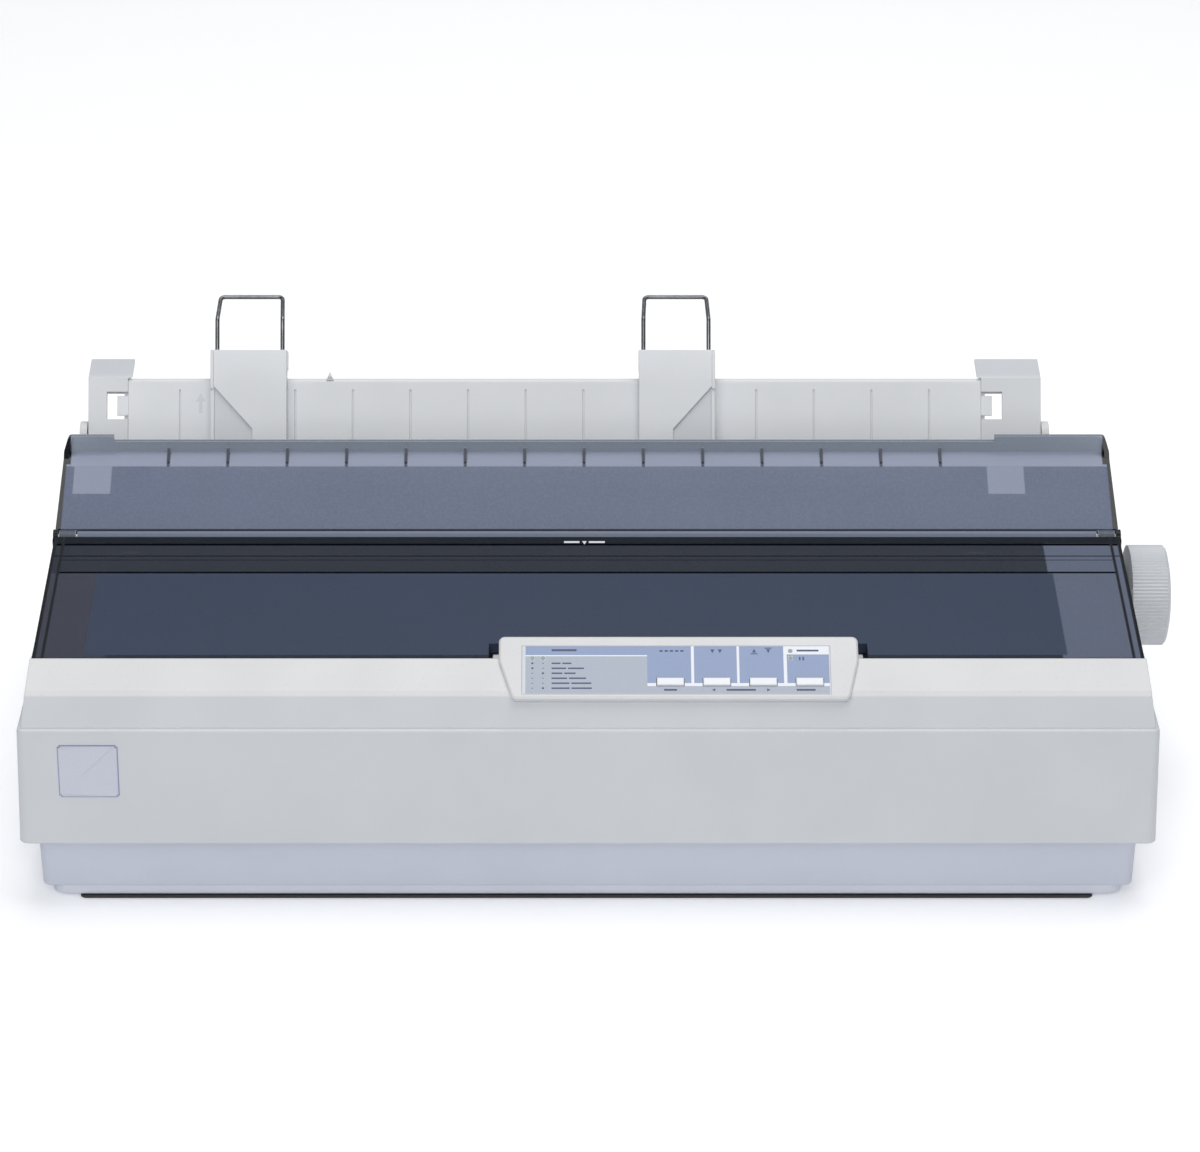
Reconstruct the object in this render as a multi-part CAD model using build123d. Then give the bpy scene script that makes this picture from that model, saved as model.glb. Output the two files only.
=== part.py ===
from build123d import *
import math
import os

# Wide-carriage dot matrix printer, in millimetres.
# Frame: X to the right seen from the front, Y to the back, Z up.
# Origin: middle of the case footprint, on the surface that the feet stand on.

# ---------------------------------------------------------------- driving sizes
# Case
body_width = 546.0
body_depth = 275.0
rim_height = 36.0            # lower rim of the upper case
ridge_height = 96.7          # ridge round the case, where the wall turns in
wall = 3.0
wall_flare = 1.6             # how far the walls lean out down to the lower rim
corner_radius = 5.0
ridge_ledge = 2.0
crown_lean = 2.6             # how far the upper sides lean in above the ridge
band_depth = 9.7             # steep band between ridge and deck
band_rise = 14.6
deck_depth = 14.9
deck_rise = 9.9              # rise of the front deck over its depth
cover_step = 4.0             # from the rim that the covers close on up to the deck's top
case_seam = 4.0              # depth of the lap between the two case halves
base_side_inset = 7.0
base_front_inset = 8.5
plinth_inset = 5.5
plinth_top = 7.0
plinth_bottom = 2.6
plate_thickness = 1.7
foot_radius = 9.0
foot_recess = 2.0
part_gap = 0.3               # air between neighbouring pieces of different bodies
seat_gap = 0.1               # air under a piece that rests on its neighbour
pin_fit = 0.08               # radial play of a pin in the piece that turns on it
tight_fit = 0.02             # radial play of a pin in the piece that holds it

# Covers
cover_wall = 2.5
cover_gap = 0.7
cover_margin = 5.0           # from the case's side to the covers' side
cover_slope = 6.8            # degrees
cover_bevel = 6.0
bar_radius = 3.4             # tear-off bar, which is also the front hinge line
bar_y = 1.5
bar_rise = 11.2              # from the deck's top up to the bar's middle
exit_gap = 5.0               # paper exit between bar and rear cover
rear_step = 0.2              # from the bar's middle up to the rear cover's front edge
rear_depth = 45.7
rear_rise = 24.5
rear_lip = 4.5
rear_corner_lip = 2.9
rear_lean = 1.2              # how far the rear cover's sides lean in up to its back edge
lip_lean = 2.4               # and from there to the top of its lip
rib_pitch = 30.3
rib_margin = 27.0            # least from the panel's ends to its first rib
hinge_pin_radius = 1.5

# Sheet guide
guide_angle = 62.0           # degrees from level
guide_inset = 32.3           # from the case's back to the lower edge of its front face
guide_lift = 8.0             # from the rim up to that edge
guide_height = 45.1
guide_thickness = 2.5
left_bracket_inset = 11.4    # from the case's side
right_bracket_inset = 33.8
left_bracket_width = 21.0
right_bracket_width = 31.5
bracket_drop = 16.4
bracket_back = 13.0
bracket_overhang = 2.0       # of its bevelled top, towards the panel
edge_guide_width = 39.9
edge_guide_height = 57.5
edge_guide_proud = 8.0
left_guide_place = 43.8      # along the panel from its left end
right_guide_place = 268.4
window_low = 23.7            # windows of the brackets, up the guide's face
window_high = 38.0
window_width = 11.1
tab_reach = 5.9
mark_rise = 3.6              # small pointer on the panel's top edge
mark_place = 106.0
flap_depth = 1.2             # the guides' lower outer corners, cut back for the sheet
flap_foot = 18.0             # up the panel, where the cut's diagonal starts and ends
flap_top = 40.0
flap_inset = 18.0
wire_radius = 1.15
wire_outer = 3.3             # from the guide's outer and inner sides to the wire's legs
wire_inner = 2.4
wire_rise = 16.4
wire_reach = 18.4

# Paper path and mechanism
platen_y = 14.0
platen_drop = 23.7           # from the rim down to the platen's axis
platen_radius = 13.5
platen_left_gap = 14.0       # from the left side frame to the platen's end
platen_right_gap = 16.0
platen_shaft_radius = 4.0
knob_radius = 25.5
knob_width = 20.8
knob_flutes = 88
flute_depth = 0.5
knob_crown = 2.9             # depth of the knob's domed end
knob_gap = 2.0               # between the case wall and the knob
knob_seat = 14.0             # how far the platen's shaft stands out of the case
frame_left_inset = 27.0      # from the case's side to the side frame's outer face
frame_right_inset = 59.0
frame_sheet = 2.0
frame_floor = 10.0
tractor_reach = 62.0         # from the platen's axis back to the tractors' shaft
tractor_drop = 0.3
tractor_width = 34.0
tractor_length = 40.0
left_tractor_place = 18.0    # from the platen's left end
right_tractor_place = 20.0   # from the platen's right end
gear_module = 0.8
gear_width = 6.0
platen_teeth = 48
idler_teeth = 40
tractor_teeth = 30
pinion_teeth = 15
carriage_reach = 55.0        # from the platen's axis forward to the carriage's shaft
carriage_drop = 24.3
carriage_shaft_radius = 5.0
carriage_width = 50.0
carriage_home = 50.0         # from the left side frame
belt_half_width = 5.5        # half the distance between the two belt strands
belt_drop = 16.0             # from the carriage's shaft down to the belt
ribbon_reach = 21.0          # from the carriage's shaft forward to the cartridge
ribbon_depth = 35.0
ribbon_drop = 8.0            # from the rim down to the cartridge's top

# ---------------------------------------------------------------- derived places
half_x = body_width / 2
half_y = body_depth / 2
front_y = -half_y
lean = math.degrees(math.atan(wall_flare / (ridge_height - rim_height)))
beyond = half_x + 60         # past every face of the part
base_half_x = half_x - base_side_inset
base_half_y = half_y - base_front_inset
band_foot_y = front_y + ridge_ledge
band_foot_z = ridge_height + 0.8
deck_foot_y = band_foot_y + band_depth
deck_foot_z = band_foot_z + band_rise
deck_rear_y = deck_foot_y + deck_depth
deck_height = deck_foot_z + deck_rise
deck_angle = math.atan2(deck_rise, deck_depth)
top_height = deck_height - cover_step
cover_half = half_x - cover_margin
bar_z = deck_height + bar_rise
cover_front_y = deck_rear_y + cover_gap
cover_rise = math.tan(math.radians(cover_slope))
cover_back_y = bar_y - bar_radius - cover_gap
skirt_foot = top_height + part_gap
ear_x0 = cover_half - cover_wall - 0.2
rear_front_y = bar_y + bar_radius + exit_gap
rear_back_y = rear_front_y + rear_depth
rear_front_z = bar_z + rear_step
rear_top_z = rear_front_z + rear_rise
rear_pin_y = rear_front_y + 4.6
rear_pin_z = rear_front_z - 4.4
guide_foot_y = half_y - guide_inset
guide_foot_z = top_height + guide_lift
bracket_left = -half_x + left_bracket_inset
bracket_right = half_x - right_bracket_inset
guide_left = bracket_left + left_bracket_width
guide_right = bracket_right - right_bracket_width
rib_count = 1 + int((guide_right - guide_left - 2 * rib_margin) / rib_pitch)
rib_start = (guide_left + guide_right - (rib_count - 1) * rib_pitch) / 2
left_guide_x = guide_left + left_guide_place
right_guide_x = guide_left + right_guide_place
mouth_left = bracket_left - 0.5
mouth_right = bracket_right + 0.8
mouth_back = half_y - 7.5
floor_top = plinth_bottom + wall
frame_left = -half_x + frame_left_inset
frame_right = half_x - frame_right_inset
platen_z = top_height - platen_drop
platen_left = frame_left + platen_left_gap
platen_right = frame_right - platen_right_gap
tractor_y = platen_y + tractor_reach
tractor_z = platen_z - tractor_drop
left_tractor_x = platen_left + left_tractor_place
right_tractor_x = platen_right - right_tractor_place
carriage_shaft_y = platen_y - carriage_reach
carriage_shaft_z = platen_z - carriage_drop
carriage_home_x = frame_left + carriage_home
belt_height = carriage_shaft_z - belt_drop
ribbon_back = carriage_shaft_y - ribbon_reach
ribbon_front = ribbon_back - ribbon_depth
ribbon_top = top_height - ribbon_drop
GUIDE_COS = math.cos(math.radians(guide_angle))
GUIDE_SIN = math.sin(math.radians(guide_angle))


# ---------------------------------------------------------------- shape helpers
def block(x0, x1, y0, y1, z0, z1):
    """Block between two opposite corners."""
    middle = Pos((x0 + x1) / 2, (y0 + y1) / 2, (z0 + z1) / 2)
    return middle * Box(x1 - x0, y1 - y0, z1 - z0)


def outline(*points):
    """Closed flat face through the given points."""
    return make_face(Polyline(*points, close=True))


def along_x(face, x0, x1):
    """Solid of a (Y, Z) face from X = x0 to X = x1."""
    return extrude(Plane.YZ.offset(x0) * face, x1 - x0)


def rod_x(y, z, radius, x0, x1):
    """Round bar along X."""
    return along_x(Pos(y, z) * Circle(radius), x0, x1)


def post(x, y, radius, z0, z1):
    """Round upright post."""
    return extrude(Plane.XY.offset(z0) * (Pos(x, y) * Circle(radius)), z1 - z0)


def slab(half_width, half_length, z0, z1, radius, taper=0.0):
    """Upright block with rounded corners, leaning in by an angle."""
    face = Plane.XY.offset(z0) * RectangleRounded(2 * half_width, 2 * half_length, radius)
    return extrude(face, z1 - z0, taper=taper)


def guide_point(u, w):
    """(Y, Z) of a place u up the sheet guide's face and w in front of it."""
    return (guide_foot_y + u * GUIDE_COS - w * GUIDE_SIN,
            guide_foot_z + u * GUIDE_SIN + w * GUIDE_COS)


def guide_outline(*places):
    """Closed (Y, Z) face through (u, w) places on the sheet guide."""
    return outline(*[guide_point(u, w) for u, w in places])


def deck_point(v, w):
    """(Y, Z) of a place v up the deck's slope and w above the deck."""
    return (deck_foot_y + v * math.cos(deck_angle) - w * math.sin(deck_angle),
            deck_foot_z + v * math.sin(deck_angle) + w * math.cos(deck_angle))


def deck_plane(w):
    """Plane level with the deck's slope, w above it: X right, Y up the slope."""
    y, z = deck_point(0, w)
    normal = (0, -math.sin(deck_angle), math.cos(deck_angle))
    return Plane(origin=(0, y, z), x_dir=(1, 0, 0), z_dir=normal)


def mirrored(make):
    """A piece for the right end and its mirror image for the left end."""
    piece = make()
    return piece + mirror(piece, about=Plane.YZ)


# ---------------------------------------------------------------- case
screw_x = base_half_x - 13.0
screw_y = base_half_y - 11.0
screw_length = 26.0
screw_radius = 1.5
head_radius = 3.1
head_top = 5.0               # floor of the screws' recesses
boss_height = 14.0           # where the case halves meet on each screw
post_x = frame_left + 21.0
post_pitch = (frame_right - frame_left - 40.0) / 2
frame_posts = [(post_x + i * post_pitch, y) for i in range(3)
               for y in (ribbon_front + 9, tractor_y + 12)]
foot_x = base_half_x - 44.0
foot_y = base_half_y - 29.0
foot_places = [(x, y) for x in (-foot_x, foot_x) for y in (-foot_y, foot_y)]
panel_left = -42.8
panel_right = 129.6
panel_foot_left = -36.3
panel_foot_right = 124.8
panel_low = -4.9
panel_high = 29.0
panel_rise = 2.0
plug_left = -29.0
plug_right = 117.0
plug_low = 0.6
plug_high = 15.6
plug_depth = 9.0
notch_margin = 5.0
inlet_x = half_x - 83.0
inlet_z = 62.0
connector_x = -110.0
connector_z = 60.0
switch_y = front_y + 45.5
switch_z = 70.0
panel_back_y = deck_point(panel_high, panel_rise)[0] + 0.6
air_x = -base_half_x + 66.0   # corner of the air slots in the floor
air_y = -60.0
slot_z0 = top_height - 17.5
slot_z1 = top_height - 6.0
post_width = 8.4             # hinge posts, along X
post_x1 = ear_x0 - part_gap
post_x0 = post_x1 - post_width


def crown_face():
    """(Y, Z) outline of the case above the ridge, carried a little below it."""
    low = ridge_height - 16
    return outline((band_foot_y, low), (band_foot_y, band_foot_z),
                   (deck_foot_y, deck_foot_z), (deck_rear_y, deck_height),
                   (deck_rear_y, top_height), (half_y - ridge_ledge, top_height),
                   (half_y - ridge_ledge, low))


def crown_prism(inset):
    """Wide block whose sides lean in above the ridge."""
    rise = top_height - ridge_height
    half = half_x - ridge_ledge - inset
    angle = math.degrees(math.atan(crown_lean / rise))
    start = ridge_height - 10 * (inset > 0)
    return extrude(Plane.XY.offset(start) * Rectangle(2 * half, 2 * body_depth), 40, taper=angle)


def mouth_face():
    """Plan of the opening under both covers and the sheet guide."""
    front = deck_rear_y + 3.4
    notch = panel_back_y + 3.0
    right = cover_half - 6.0
    step = rear_back_y + 4.4
    return outline((mouth_left, front), (panel_left - 3, front), (panel_left - 3, notch),
                   (panel_right + 3, notch), (panel_right + 3, front), (right, front),
                   (right, step), (mouth_right, step), (mouth_right, mouth_back),
                   (mouth_left, mouth_back))


def hinge_post():
    """Post at the right end that carries the pins of both covers."""
    x0, x1 = post_x0, post_x1
    foot = top_height - 11
    front = rod_x(bar_y, bar_z, 3.1, x0, x1)
    front += block(x0, x1, bar_y - 3.1, bar_y + 3.1, foot, bar_z)
    back = rod_x(rear_pin_y, rear_pin_z, 3.0, x0, x1)
    back += block(x0, x1, rear_pin_y - 3.0, rear_pin_y + 3.0, foot, rear_pin_z)
    web = block(x0, x1, bar_y, rear_pin_y, foot, rear_pin_z - 4)
    gusset = block(x0, cover_half - 1, bar_y - 3.1, rear_pin_y + 3.0, foot, top_height - 1)
    bores = rod_x(bar_y, bar_z, hinge_pin_radius + tight_fit, x0 - 5, x1 + 5)
    bores += rod_x(rear_pin_y, rear_pin_z, hinge_pin_radius + tight_fit, x0 + 2, x1 + 5)
    return front + back + web + gusset - bores


def guide_ear(x0, x1):
    """Ear that carries one end of the sheet guide."""
    y, z = guide_pivot
    ear = rod_x(y, z, 8.0, x0, x1) + block(x0, x1, y - 8, y + 8, top_height - 3, z)
    return ear - rod_x(y, z, guide_pin_radius + tight_fit, x0 - 1, x1 + 1)


guide_pivot = guide_point(15.0, -6.5)
guide_pin_radius = 2.2


def upper_case():
    """Upper case: leaning walls, ridge, steep band, deck, and the mouth."""
    skirt = slab(half_x + wall_flare, half_y + wall_flare, rim_height, ridge_height,
                 corner_radius, lean)
    skirt = fillet(skirt.faces().sort_by(Axis.Z)[-1].edges(), ridge_ledge * 0.85)
    crown = along_x(crown_face(), -half_x, half_x) & crown_prism(0)
    shell = skirt + crown
    seam = rim_height + case_seam
    inside = slab(half_x - wall - 0.5, half_y - wall - 0.5, rim_height - 1, ridge_height,
                  corner_radius - 2)
    inside += slab(half_x + wall_flare - wall, half_y + wall_flare - wall, rim_height - 1,
                   seam, corner_radius - 2)
    inner_crown = offset(crown_face(), -wall, kind=Kind.INTERSECTION)
    inside += along_x(inner_crown, -half_x, half_x) & crown_prism(wall)
    shell -= inside
    shell -= extrude(Plane.XY.offset(top_height - 5) * mouth_face(), 20)
    # opening in the deck for the panel's body
    aperture = deck_plane(0) * block(plug_left - part_gap, plug_right + part_gap,
                                     plug_low - part_gap, plug_high + part_gap, -8, 4)
    shell -= aperture
    # inner ledge beside the mechanism, and the closed corner behind it on the right
    ledge_x = frame_right + 4
    ledge_y0, ledge_y1 = deck_rear_y + 2, rear_back_y - 15.6
    ledge_top = top_height - 8
    shell += block(ledge_x, half_x - 5, ledge_y0, ledge_y1, ledge_top - 2.5, ledge_top)
    shell += block(ledge_x, ledge_x + 2, ledge_y0, ledge_y1, ledge_top - 8.5, ledge_top - 2)
    shell += mirrored(hinge_post)
    shell += guide_ear(mouth_left - 3.9, mouth_left)
    shell += guide_ear(mouth_right - 0.5, mouth_right + 3.4)
    # posts that the case screws hold
    for x in (-screw_x, screw_x):
        for y in (-screw_y, screw_y):
            outer = math.copysign(half_x - 3, x)
            shell += post(x, y, 4.0, boss_height, ridge_height - 6)
            shell += block(min(x, outer), max(x, outer), y - 1.25, y + 1.25, seam + 4,
                           ridge_height - 6)
            shell -= post(x, y, screw_radius + tight_fit, 10, boss_height + screw_length)
    shell -= rod_x(platen_y, platen_z, platen_shaft_radius + 1.5, half_x - 18, half_x + 7)
    shell -= wall_openings()
    return shell


def wall_openings():
    """Rear paper slot, inlet, connector and switch windows, and air slots."""
    back0, back1 = half_y - 8, half_y + 8
    cuts = block(platen_left, platen_right, back0, back1, slot_z0, slot_z1)
    cuts += block(inlet_x - 14, inlet_x + 14, back0, back1, inlet_z - 10.2, inlet_z + 10.2)
    cuts += block(connector_x - 31, connector_x + 31, back0, back1, connector_z - 8,
                  connector_z + 8)
    cuts += block(-half_x - 8, -half_x + 8, switch_y - 7, switch_y + 7, switch_z - 10.5,
                  switch_z + 10.5)
    for i in range(vent_count):
        x = vent_x + i * vent_pitch
        cuts += block(x, x + 3, back0, back1, rim_height + 16, ridge_height - 8.7)
    return cuts


vent_count = 14
vent_pitch = 8.0
vent_x = 30.0


def lower_case():
    """Base tray, stepped in all round, with a lip that the upper case laps over."""
    top = rim_height + case_seam + 3
    tray = slab(base_half_x, base_half_y, plinth_top, top, corner_radius, -2.0)
    tray += slab(base_half_x - plinth_inset, base_half_y - plinth_inset, plinth_bottom,
                 plinth_top, corner_radius - 2)
    lip = wall_flare - wall - part_gap
    tray += slab(half_x + lip, half_y + lip, rim_height + 0.5, rim_height + case_seam - seat_gap,
                 corner_radius - 2)
    tray -= slab(base_half_x - wall, base_half_y - wall, plinth_top + wall, top + 1,
                 corner_radius - 2)
    tray -= slab(base_half_x - plinth_inset - wall, base_half_y - plinth_inset - wall,
                 floor_top, plinth_top + wall, corner_radius - 3)
    for x, y in frame_posts:
        tray += post(x, y, 6, floor_top - 1, frame_floor - seat_gap)
    for x in (-screw_x, screw_x):
        for y in (-screw_y, screw_y):
            tray += post(x, y, 5, floor_top - 1, boss_height - seat_gap)
            tray -= post(x, y, screw_radius + 0.2, 0, boss_height + 6)
            tray -= post(x, y, head_radius + 0.3, 0, head_top)
    for x, y in foot_places:
        tray -= post(x, y, foot_radius + 0.2, 0, plinth_bottom + foot_recess)
    for x in (air_x, air_x + 50):
        for i in range(6):
            y = air_y + 12 * i
            tray -= block(x, x + 36, y, y + 4, 0, 20)
    return tray


def bottom_plate():
    """Sheet under the tray, holed for the feet and the air slots."""
    half_w = base_half_x - 19
    half_l = base_half_y - 10
    plate = slab(half_w, half_l, plinth_bottom - plate_thickness - seat_gap,
                 plinth_bottom - seat_gap, 4)
    for x, y in foot_places:
        plate -= post(x, y, foot_radius + 1, 0, 5)
    plate -= block(air_x - 2, air_x + 88, air_y - 2, air_y + 66, 0, 5)
    return plate


def rubber_feet():
    """Four round feet in their recesses."""
    feet = Part()
    for x, y in foot_places:
        feet += post(x, y, foot_radius, 0, plinth_bottom + foot_recess - seat_gap)
    return feet


def case_screws():
    """Four screws from below that hold the case halves together."""
    screws = Part()
    for x in (-screw_x, screw_x):
        for y in (-screw_y, screw_y):
            screws += post(x, y, head_radius, head_top - 2, head_top - seat_gap)
            screws += post(x, y, screw_radius, head_top - 1, screw_length + 8)
    return screws


# ---------------------------------------------------------------- control panel
overlay_left = -31.6
overlay_right = 115.9
overlay_low = -2.8
overlay_high = 23.5
overlay_thickness = 0.4
button_x = 39.3
button_pitch = 22.2
button_width = 13.0
button_length = 4.0
button_v = 3.8
button_travel = 0.8
button_height = 6.0
led_places = [(-26.7, 16.9), (-21.6, 16.9), (97.0, 20.8), (97.0, 16.9)]
led_radius = 0.9
led_depth = 1.6


def button_window(index, margin, depth, rise):
    """Well for one button, in the panel's own plane."""
    x = button_x + index * button_pitch
    half_w = button_width / 2 + margin
    half_l = button_length / 2 + margin
    return block(x - half_w, x + half_w, button_v - half_l, button_v + half_l, -depth, rise)


def control_panel():
    """Raised panel housing on the deck, with its body sunk through the deck."""
    corner = (panel_foot_left, panel_low)
    face = outline((panel_left, panel_high), (panel_left, plug_high), corner,
                   (panel_foot_right, panel_low), (panel_right, plug_high),
                   (panel_right, panel_high))
    face = fillet(face.vertices(), 3.0)
    housing = extrude(deck_plane(panel_rise) * face, -20)
    housing = chamfer(housing.faces().sort_by(Axis((0, 0, 0), deck_plane(0).z_dir))[-1].edges(),
                      0.8)
    keep_out = offset(crown_face(), seat_gap, kind=Kind.INTERSECTION)
    housing -= along_x(keep_out, -half_x, half_x)
    housing &= block(-beyond, beyond, -beyond, panel_back_y, 0, beyond)
    body = deck_plane(panel_rise) * block(plug_left, plug_right, plug_low, plug_high,
                                          -plug_depth - panel_rise, -0.5)
    housing += body
    housing -= deck_plane(panel_rise) * block(overlay_left - 0.1, overlay_right + 0.1,
                                              overlay_low - 0.1, overlay_high + 0.1,
                                              -overlay_thickness, 2)
    for i in range(4):
        housing -= deck_plane(panel_rise) * button_window(i, 0.25, 20, 5)
    for x, v in led_places:
        hole = Pos(x, v, 0) * Cylinder(led_radius + 0.05, 2 * led_depth + 0.2)
        housing -= deck_plane(panel_rise) * hole
    return housing


def panel_overlay():
    """Printed sheet in the panel's recess."""
    sheet = block(overlay_left, overlay_right, overlay_low, overlay_high,
                  -overlay_thickness + 0.03, 0)
    for i in range(4):
        sheet -= button_window(i, 0.3, 2, 2)
    for x, v in led_places:
        sheet -= Pos(x, v, 0) * Cylinder(led_radius + 0.1, 4)
    return deck_plane(panel_rise) * sheet


def indicator_leds():
    """Lamps that show through the overlay."""
    lamps = Part()
    for x, v in led_places:
        lamps += Pos(x, v, -led_depth / 2 + 0.05) * Cylinder(led_radius, led_depth)
    return deck_plane(panel_rise) * lamps


def panel_board():
    """Board under the panel, with one push switch under each button."""
    depth = plug_depth + panel_rise + seat_gap
    board = block(plug_left - 4, plug_right + 4, plug_low + 0.5, plug_high - 0.5,
                  -depth - 1.6, -depth)
    top = -panel_button_foot() - button_travel - 0.2
    for i in range(4):
        x = button_x + i * button_pitch
        board += block(x - 3, x + 3, button_v - 1.9, button_v + 1.9, -depth - 0.5, top)
    return deck_plane(panel_rise) * board


def panel_button_foot():
    """Depth of a button's foot under the panel's face."""
    return button_height - 1.0


def panel_button(index):
    """One push button, standing 1 mm out of the panel."""
    key = button_window(index, 0, panel_button_foot(), 1.0)
    key = chamfer(key.faces().sort_by(Axis.Z)[-1].edges(), 0.4)
    return deck_plane(panel_rise) * key


# ---------------------------------------------------------------- covers
def cover_z(y):
    """Height of the printer cover's top at a given Y."""
    return deck_height + (y - cover_front_y) * cover_rise


def rear_z(y):
    """Height of the rear cover's top at a given Y."""
    return rear_front_z + (y - rear_front_y) * rear_rise / rear_depth


def printer_cover():
    """Front cover: sloping window with side and front skirts and a notch."""
    back = cover_back_y
    ear = bar_radius + 0.2
    profile = outline((cover_front_y, skirt_foot), (cover_front_y, deck_height),
                      (back, cover_z(back)), (back, skirt_foot))
    shell = along_x(profile, -cover_half, cover_half)
    long_edges = shell.edges().filter_by(Plane.YZ).group_by(Axis.Z)[-1]
    side_edges = ShapeList(e for e in long_edges if e.length > 50)
    shell = chamfer(side_edges, 1.0, cover_bevel)
    drop = cover_wall / math.cos(math.radians(cover_slope))
    inner_front = cover_front_y + cover_wall
    hollow = outline((inner_front, skirt_foot - 5), (inner_front, cover_z(inner_front) - drop),
                     (back + 5, cover_z(back + 5) - drop), (back + 5, skirt_foot - 5))
    inner_half = cover_half - cover_wall
    shell -= along_x(hollow, -inner_half, inner_half)
    # ears on the hinge line
    for side in (-1, 1):
        x0, x1 = sorted((side * (cover_half - cover_wall), side * cover_half))
        shell += rod_x(bar_y, bar_z, ear, x0, x1)
        web = outline((back - 2, skirt_foot), (bar_y, skirt_foot), (bar_y + ear, bar_z),
                      (bar_y, bar_z + ear * 0.6), (back - 2, cover_z(back - 2) - 1))
        shell += along_x(web, x0, x1)
    # notch round the control panel, with its own skirt
    x0, x1 = panel_left - notch_margin, panel_right + notch_margin
    notch_back = panel_back_y + 4.0
    rim = 2.0
    front = block(x0 - rim, x1 + rim, -beyond, notch_back + rim, 0, beyond)
    shell += along_x(profile, x0 - rim, x1 + rim) & front
    shell -= block(x0, x1, -beyond, notch_back, 0, beyond)
    shell -= rod_x(bar_y, bar_z, hinge_pin_radius + pin_fit, -beyond, beyond)
    return shell


def tear_off_bar():
    """Round bar along the hinge line, bored at both ends for the pins."""
    end = post_x0 - 0.8
    bar = rod_x(bar_y, bar_z, bar_radius, -end, end)
    for side in (-1, 1):
        x0, x1 = sorted((side * (end - 7), side * (end + 1)))
        bar -= rod_x(bar_y, bar_z, hinge_pin_radius + pin_fit, x0, x1)
    return bar


def rear_envelope(inset):
    """Block between the rear cover's sides, which lean in above the hinge line."""
    half = cover_half - inset
    top = rear_top_z + rear_lip + rear_corner_lip
    places = [(half, skirt_foot), (half, rear_front_z + 0.5), (half - rear_lean, rear_top_z),
              (half - rear_lean - lip_lean, top)]
    face = outline(*places, *[(-x, z) for x, z in reversed(places)])
    corners = face.vertices().group_by(Axis.Y)[-1]
    return extrude(Plane.XZ * fillet(corners, 2.5), beyond, both=True)


def rear_cover():
    """Rear cover: sloping paper support with skirts, an upright lip and ribs."""
    drop = cover_wall / math.cos(math.atan2(rear_rise, rear_depth))
    lip_y = rear_back_y - cover_wall
    top = rear_top_z + rear_lip + rear_corner_lip
    plate = outline((rear_front_y, rear_front_z), (rear_front_y, rear_front_z - drop),
                    (rear_back_y, rear_top_z - drop), (rear_back_y, top), (lip_y, top),
                    (lip_y, rear_z(lip_y)))
    shell = along_x(plate, -cover_half, cover_half) & rear_envelope(0)
    side = outline((rear_front_y, rear_front_z), (rear_pin_y - 3.6, rear_pin_z),
                   (rear_pin_y, skirt_foot), (rear_back_y, skirt_foot), (rear_back_y, top),
                   (lip_y, top), (lip_y - 4, rear_z(lip_y - 4)))
    sides = along_x(side, -cover_half, cover_half) & rear_envelope(0)
    shell += sides - rear_envelope(cover_wall)
    # lip cut lower between its corners
    shell -= block(mouth_left + 20.8, frame_right - 5.7, lip_y - 1, rear_back_y + 1,
                   rear_top_z + rear_lip, beyond)
    for i in range(rib_count):
        x = rib_start + i * rib_pitch
        start = lip_y - 6.5
        rib = outline((start, rear_z(start) - 1), (lip_y + 1, rear_z(lip_y) - 1),
                      (lip_y + 1, rear_z(lip_y) + 3.2), (start, rear_z(start) + 0.8))
        shell += along_x(rib, x - 0.6, x + 0.6)
    shell -= rod_x(rear_pin_y, rear_pin_z, hinge_pin_radius + pin_fit, -beyond, beyond)
    return shell


def hinge_pins():
    """Pins of the printer cover, the rear cover and the sheet guide."""
    pins = Part()
    for side in (-1, 1):
        x0, x1 = sorted((side * (post_x0 - 6.6), side * (cover_half - 0.4)))
        pins += rod_x(bar_y, bar_z, hinge_pin_radius, x0, x1)
        x0, x1 = sorted((side * (post_x0 + 2.4), side * (cover_half - 0.4)))
        pins += rod_x(rear_pin_y, rear_pin_z, hinge_pin_radius, x0, x1)
    y, z = guide_pivot
    pins += rod_x(y, z, guide_pin_radius, mouth_left - 3.9, bracket_left + 6)
    pins += rod_x(y, z, guide_pin_radius, bracket_right - 6, mouth_right + 3.4)
    return pins


# ---------------------------------------------------------------- sheet guide
def sheet_guide():
    """Leaning panel that backs the sheets, ribbed on its face."""
    face = guide_outline((0, -guide_thickness), (0, 0), (guide_height - 1.8, 0),
                         (guide_height, -1.4), (guide_height, -guide_thickness - 1.5),
                         (guide_height - 2, -guide_thickness - 1.5),
                         (guide_height - 2, -guide_thickness))
    panel = along_x(face, guide_left, guide_right)
    for i in range(rib_count):
        x = rib_start + i * rib_pitch
        rib = guide_outline((2, -guide_thickness - 2.5), (2, -guide_thickness + 0.5),
                            (guide_height - 1, -guide_thickness + 0.5),
                            (guide_height - 1, -guide_thickness - 2.5))
        panel += along_x(rib, x - 0.6, x + 0.6)
        groove = guide_outline((3, -0.5), (3, 1), (guide_height - 6, 1), (guide_height - 6, -0.5))
        panel -= along_x(groove, x - 0.4, x + 0.4)
    mark_x = guide_left + mark_place
    mark = outline((mark_x - 2, guide_height - 1), (mark_x + 2, guide_height - 1),
                   (mark_x, guide_height + mark_rise))
    foot = (0, *guide_point(0, 0))
    plane = Plane(origin=foot, x_dir=(1, 0, 0), z_dir=(0, -GUIDE_SIN, GUIDE_COS))
    panel += extrude(plane * mark, -2.4)
    # tabs that snap into the brackets' windows
    tab = guide_outline((window_low + 1.8, -2.2), (window_low + 1.8, -0.8),
                        (window_high - 2.0, -0.8), (window_high - 2.0, -2.2))
    panel += along_x(tab, guide_left - tab_reach, guide_left + 1)
    return panel + along_x(tab, guide_right - 1, guide_right + tab_reach)


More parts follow.
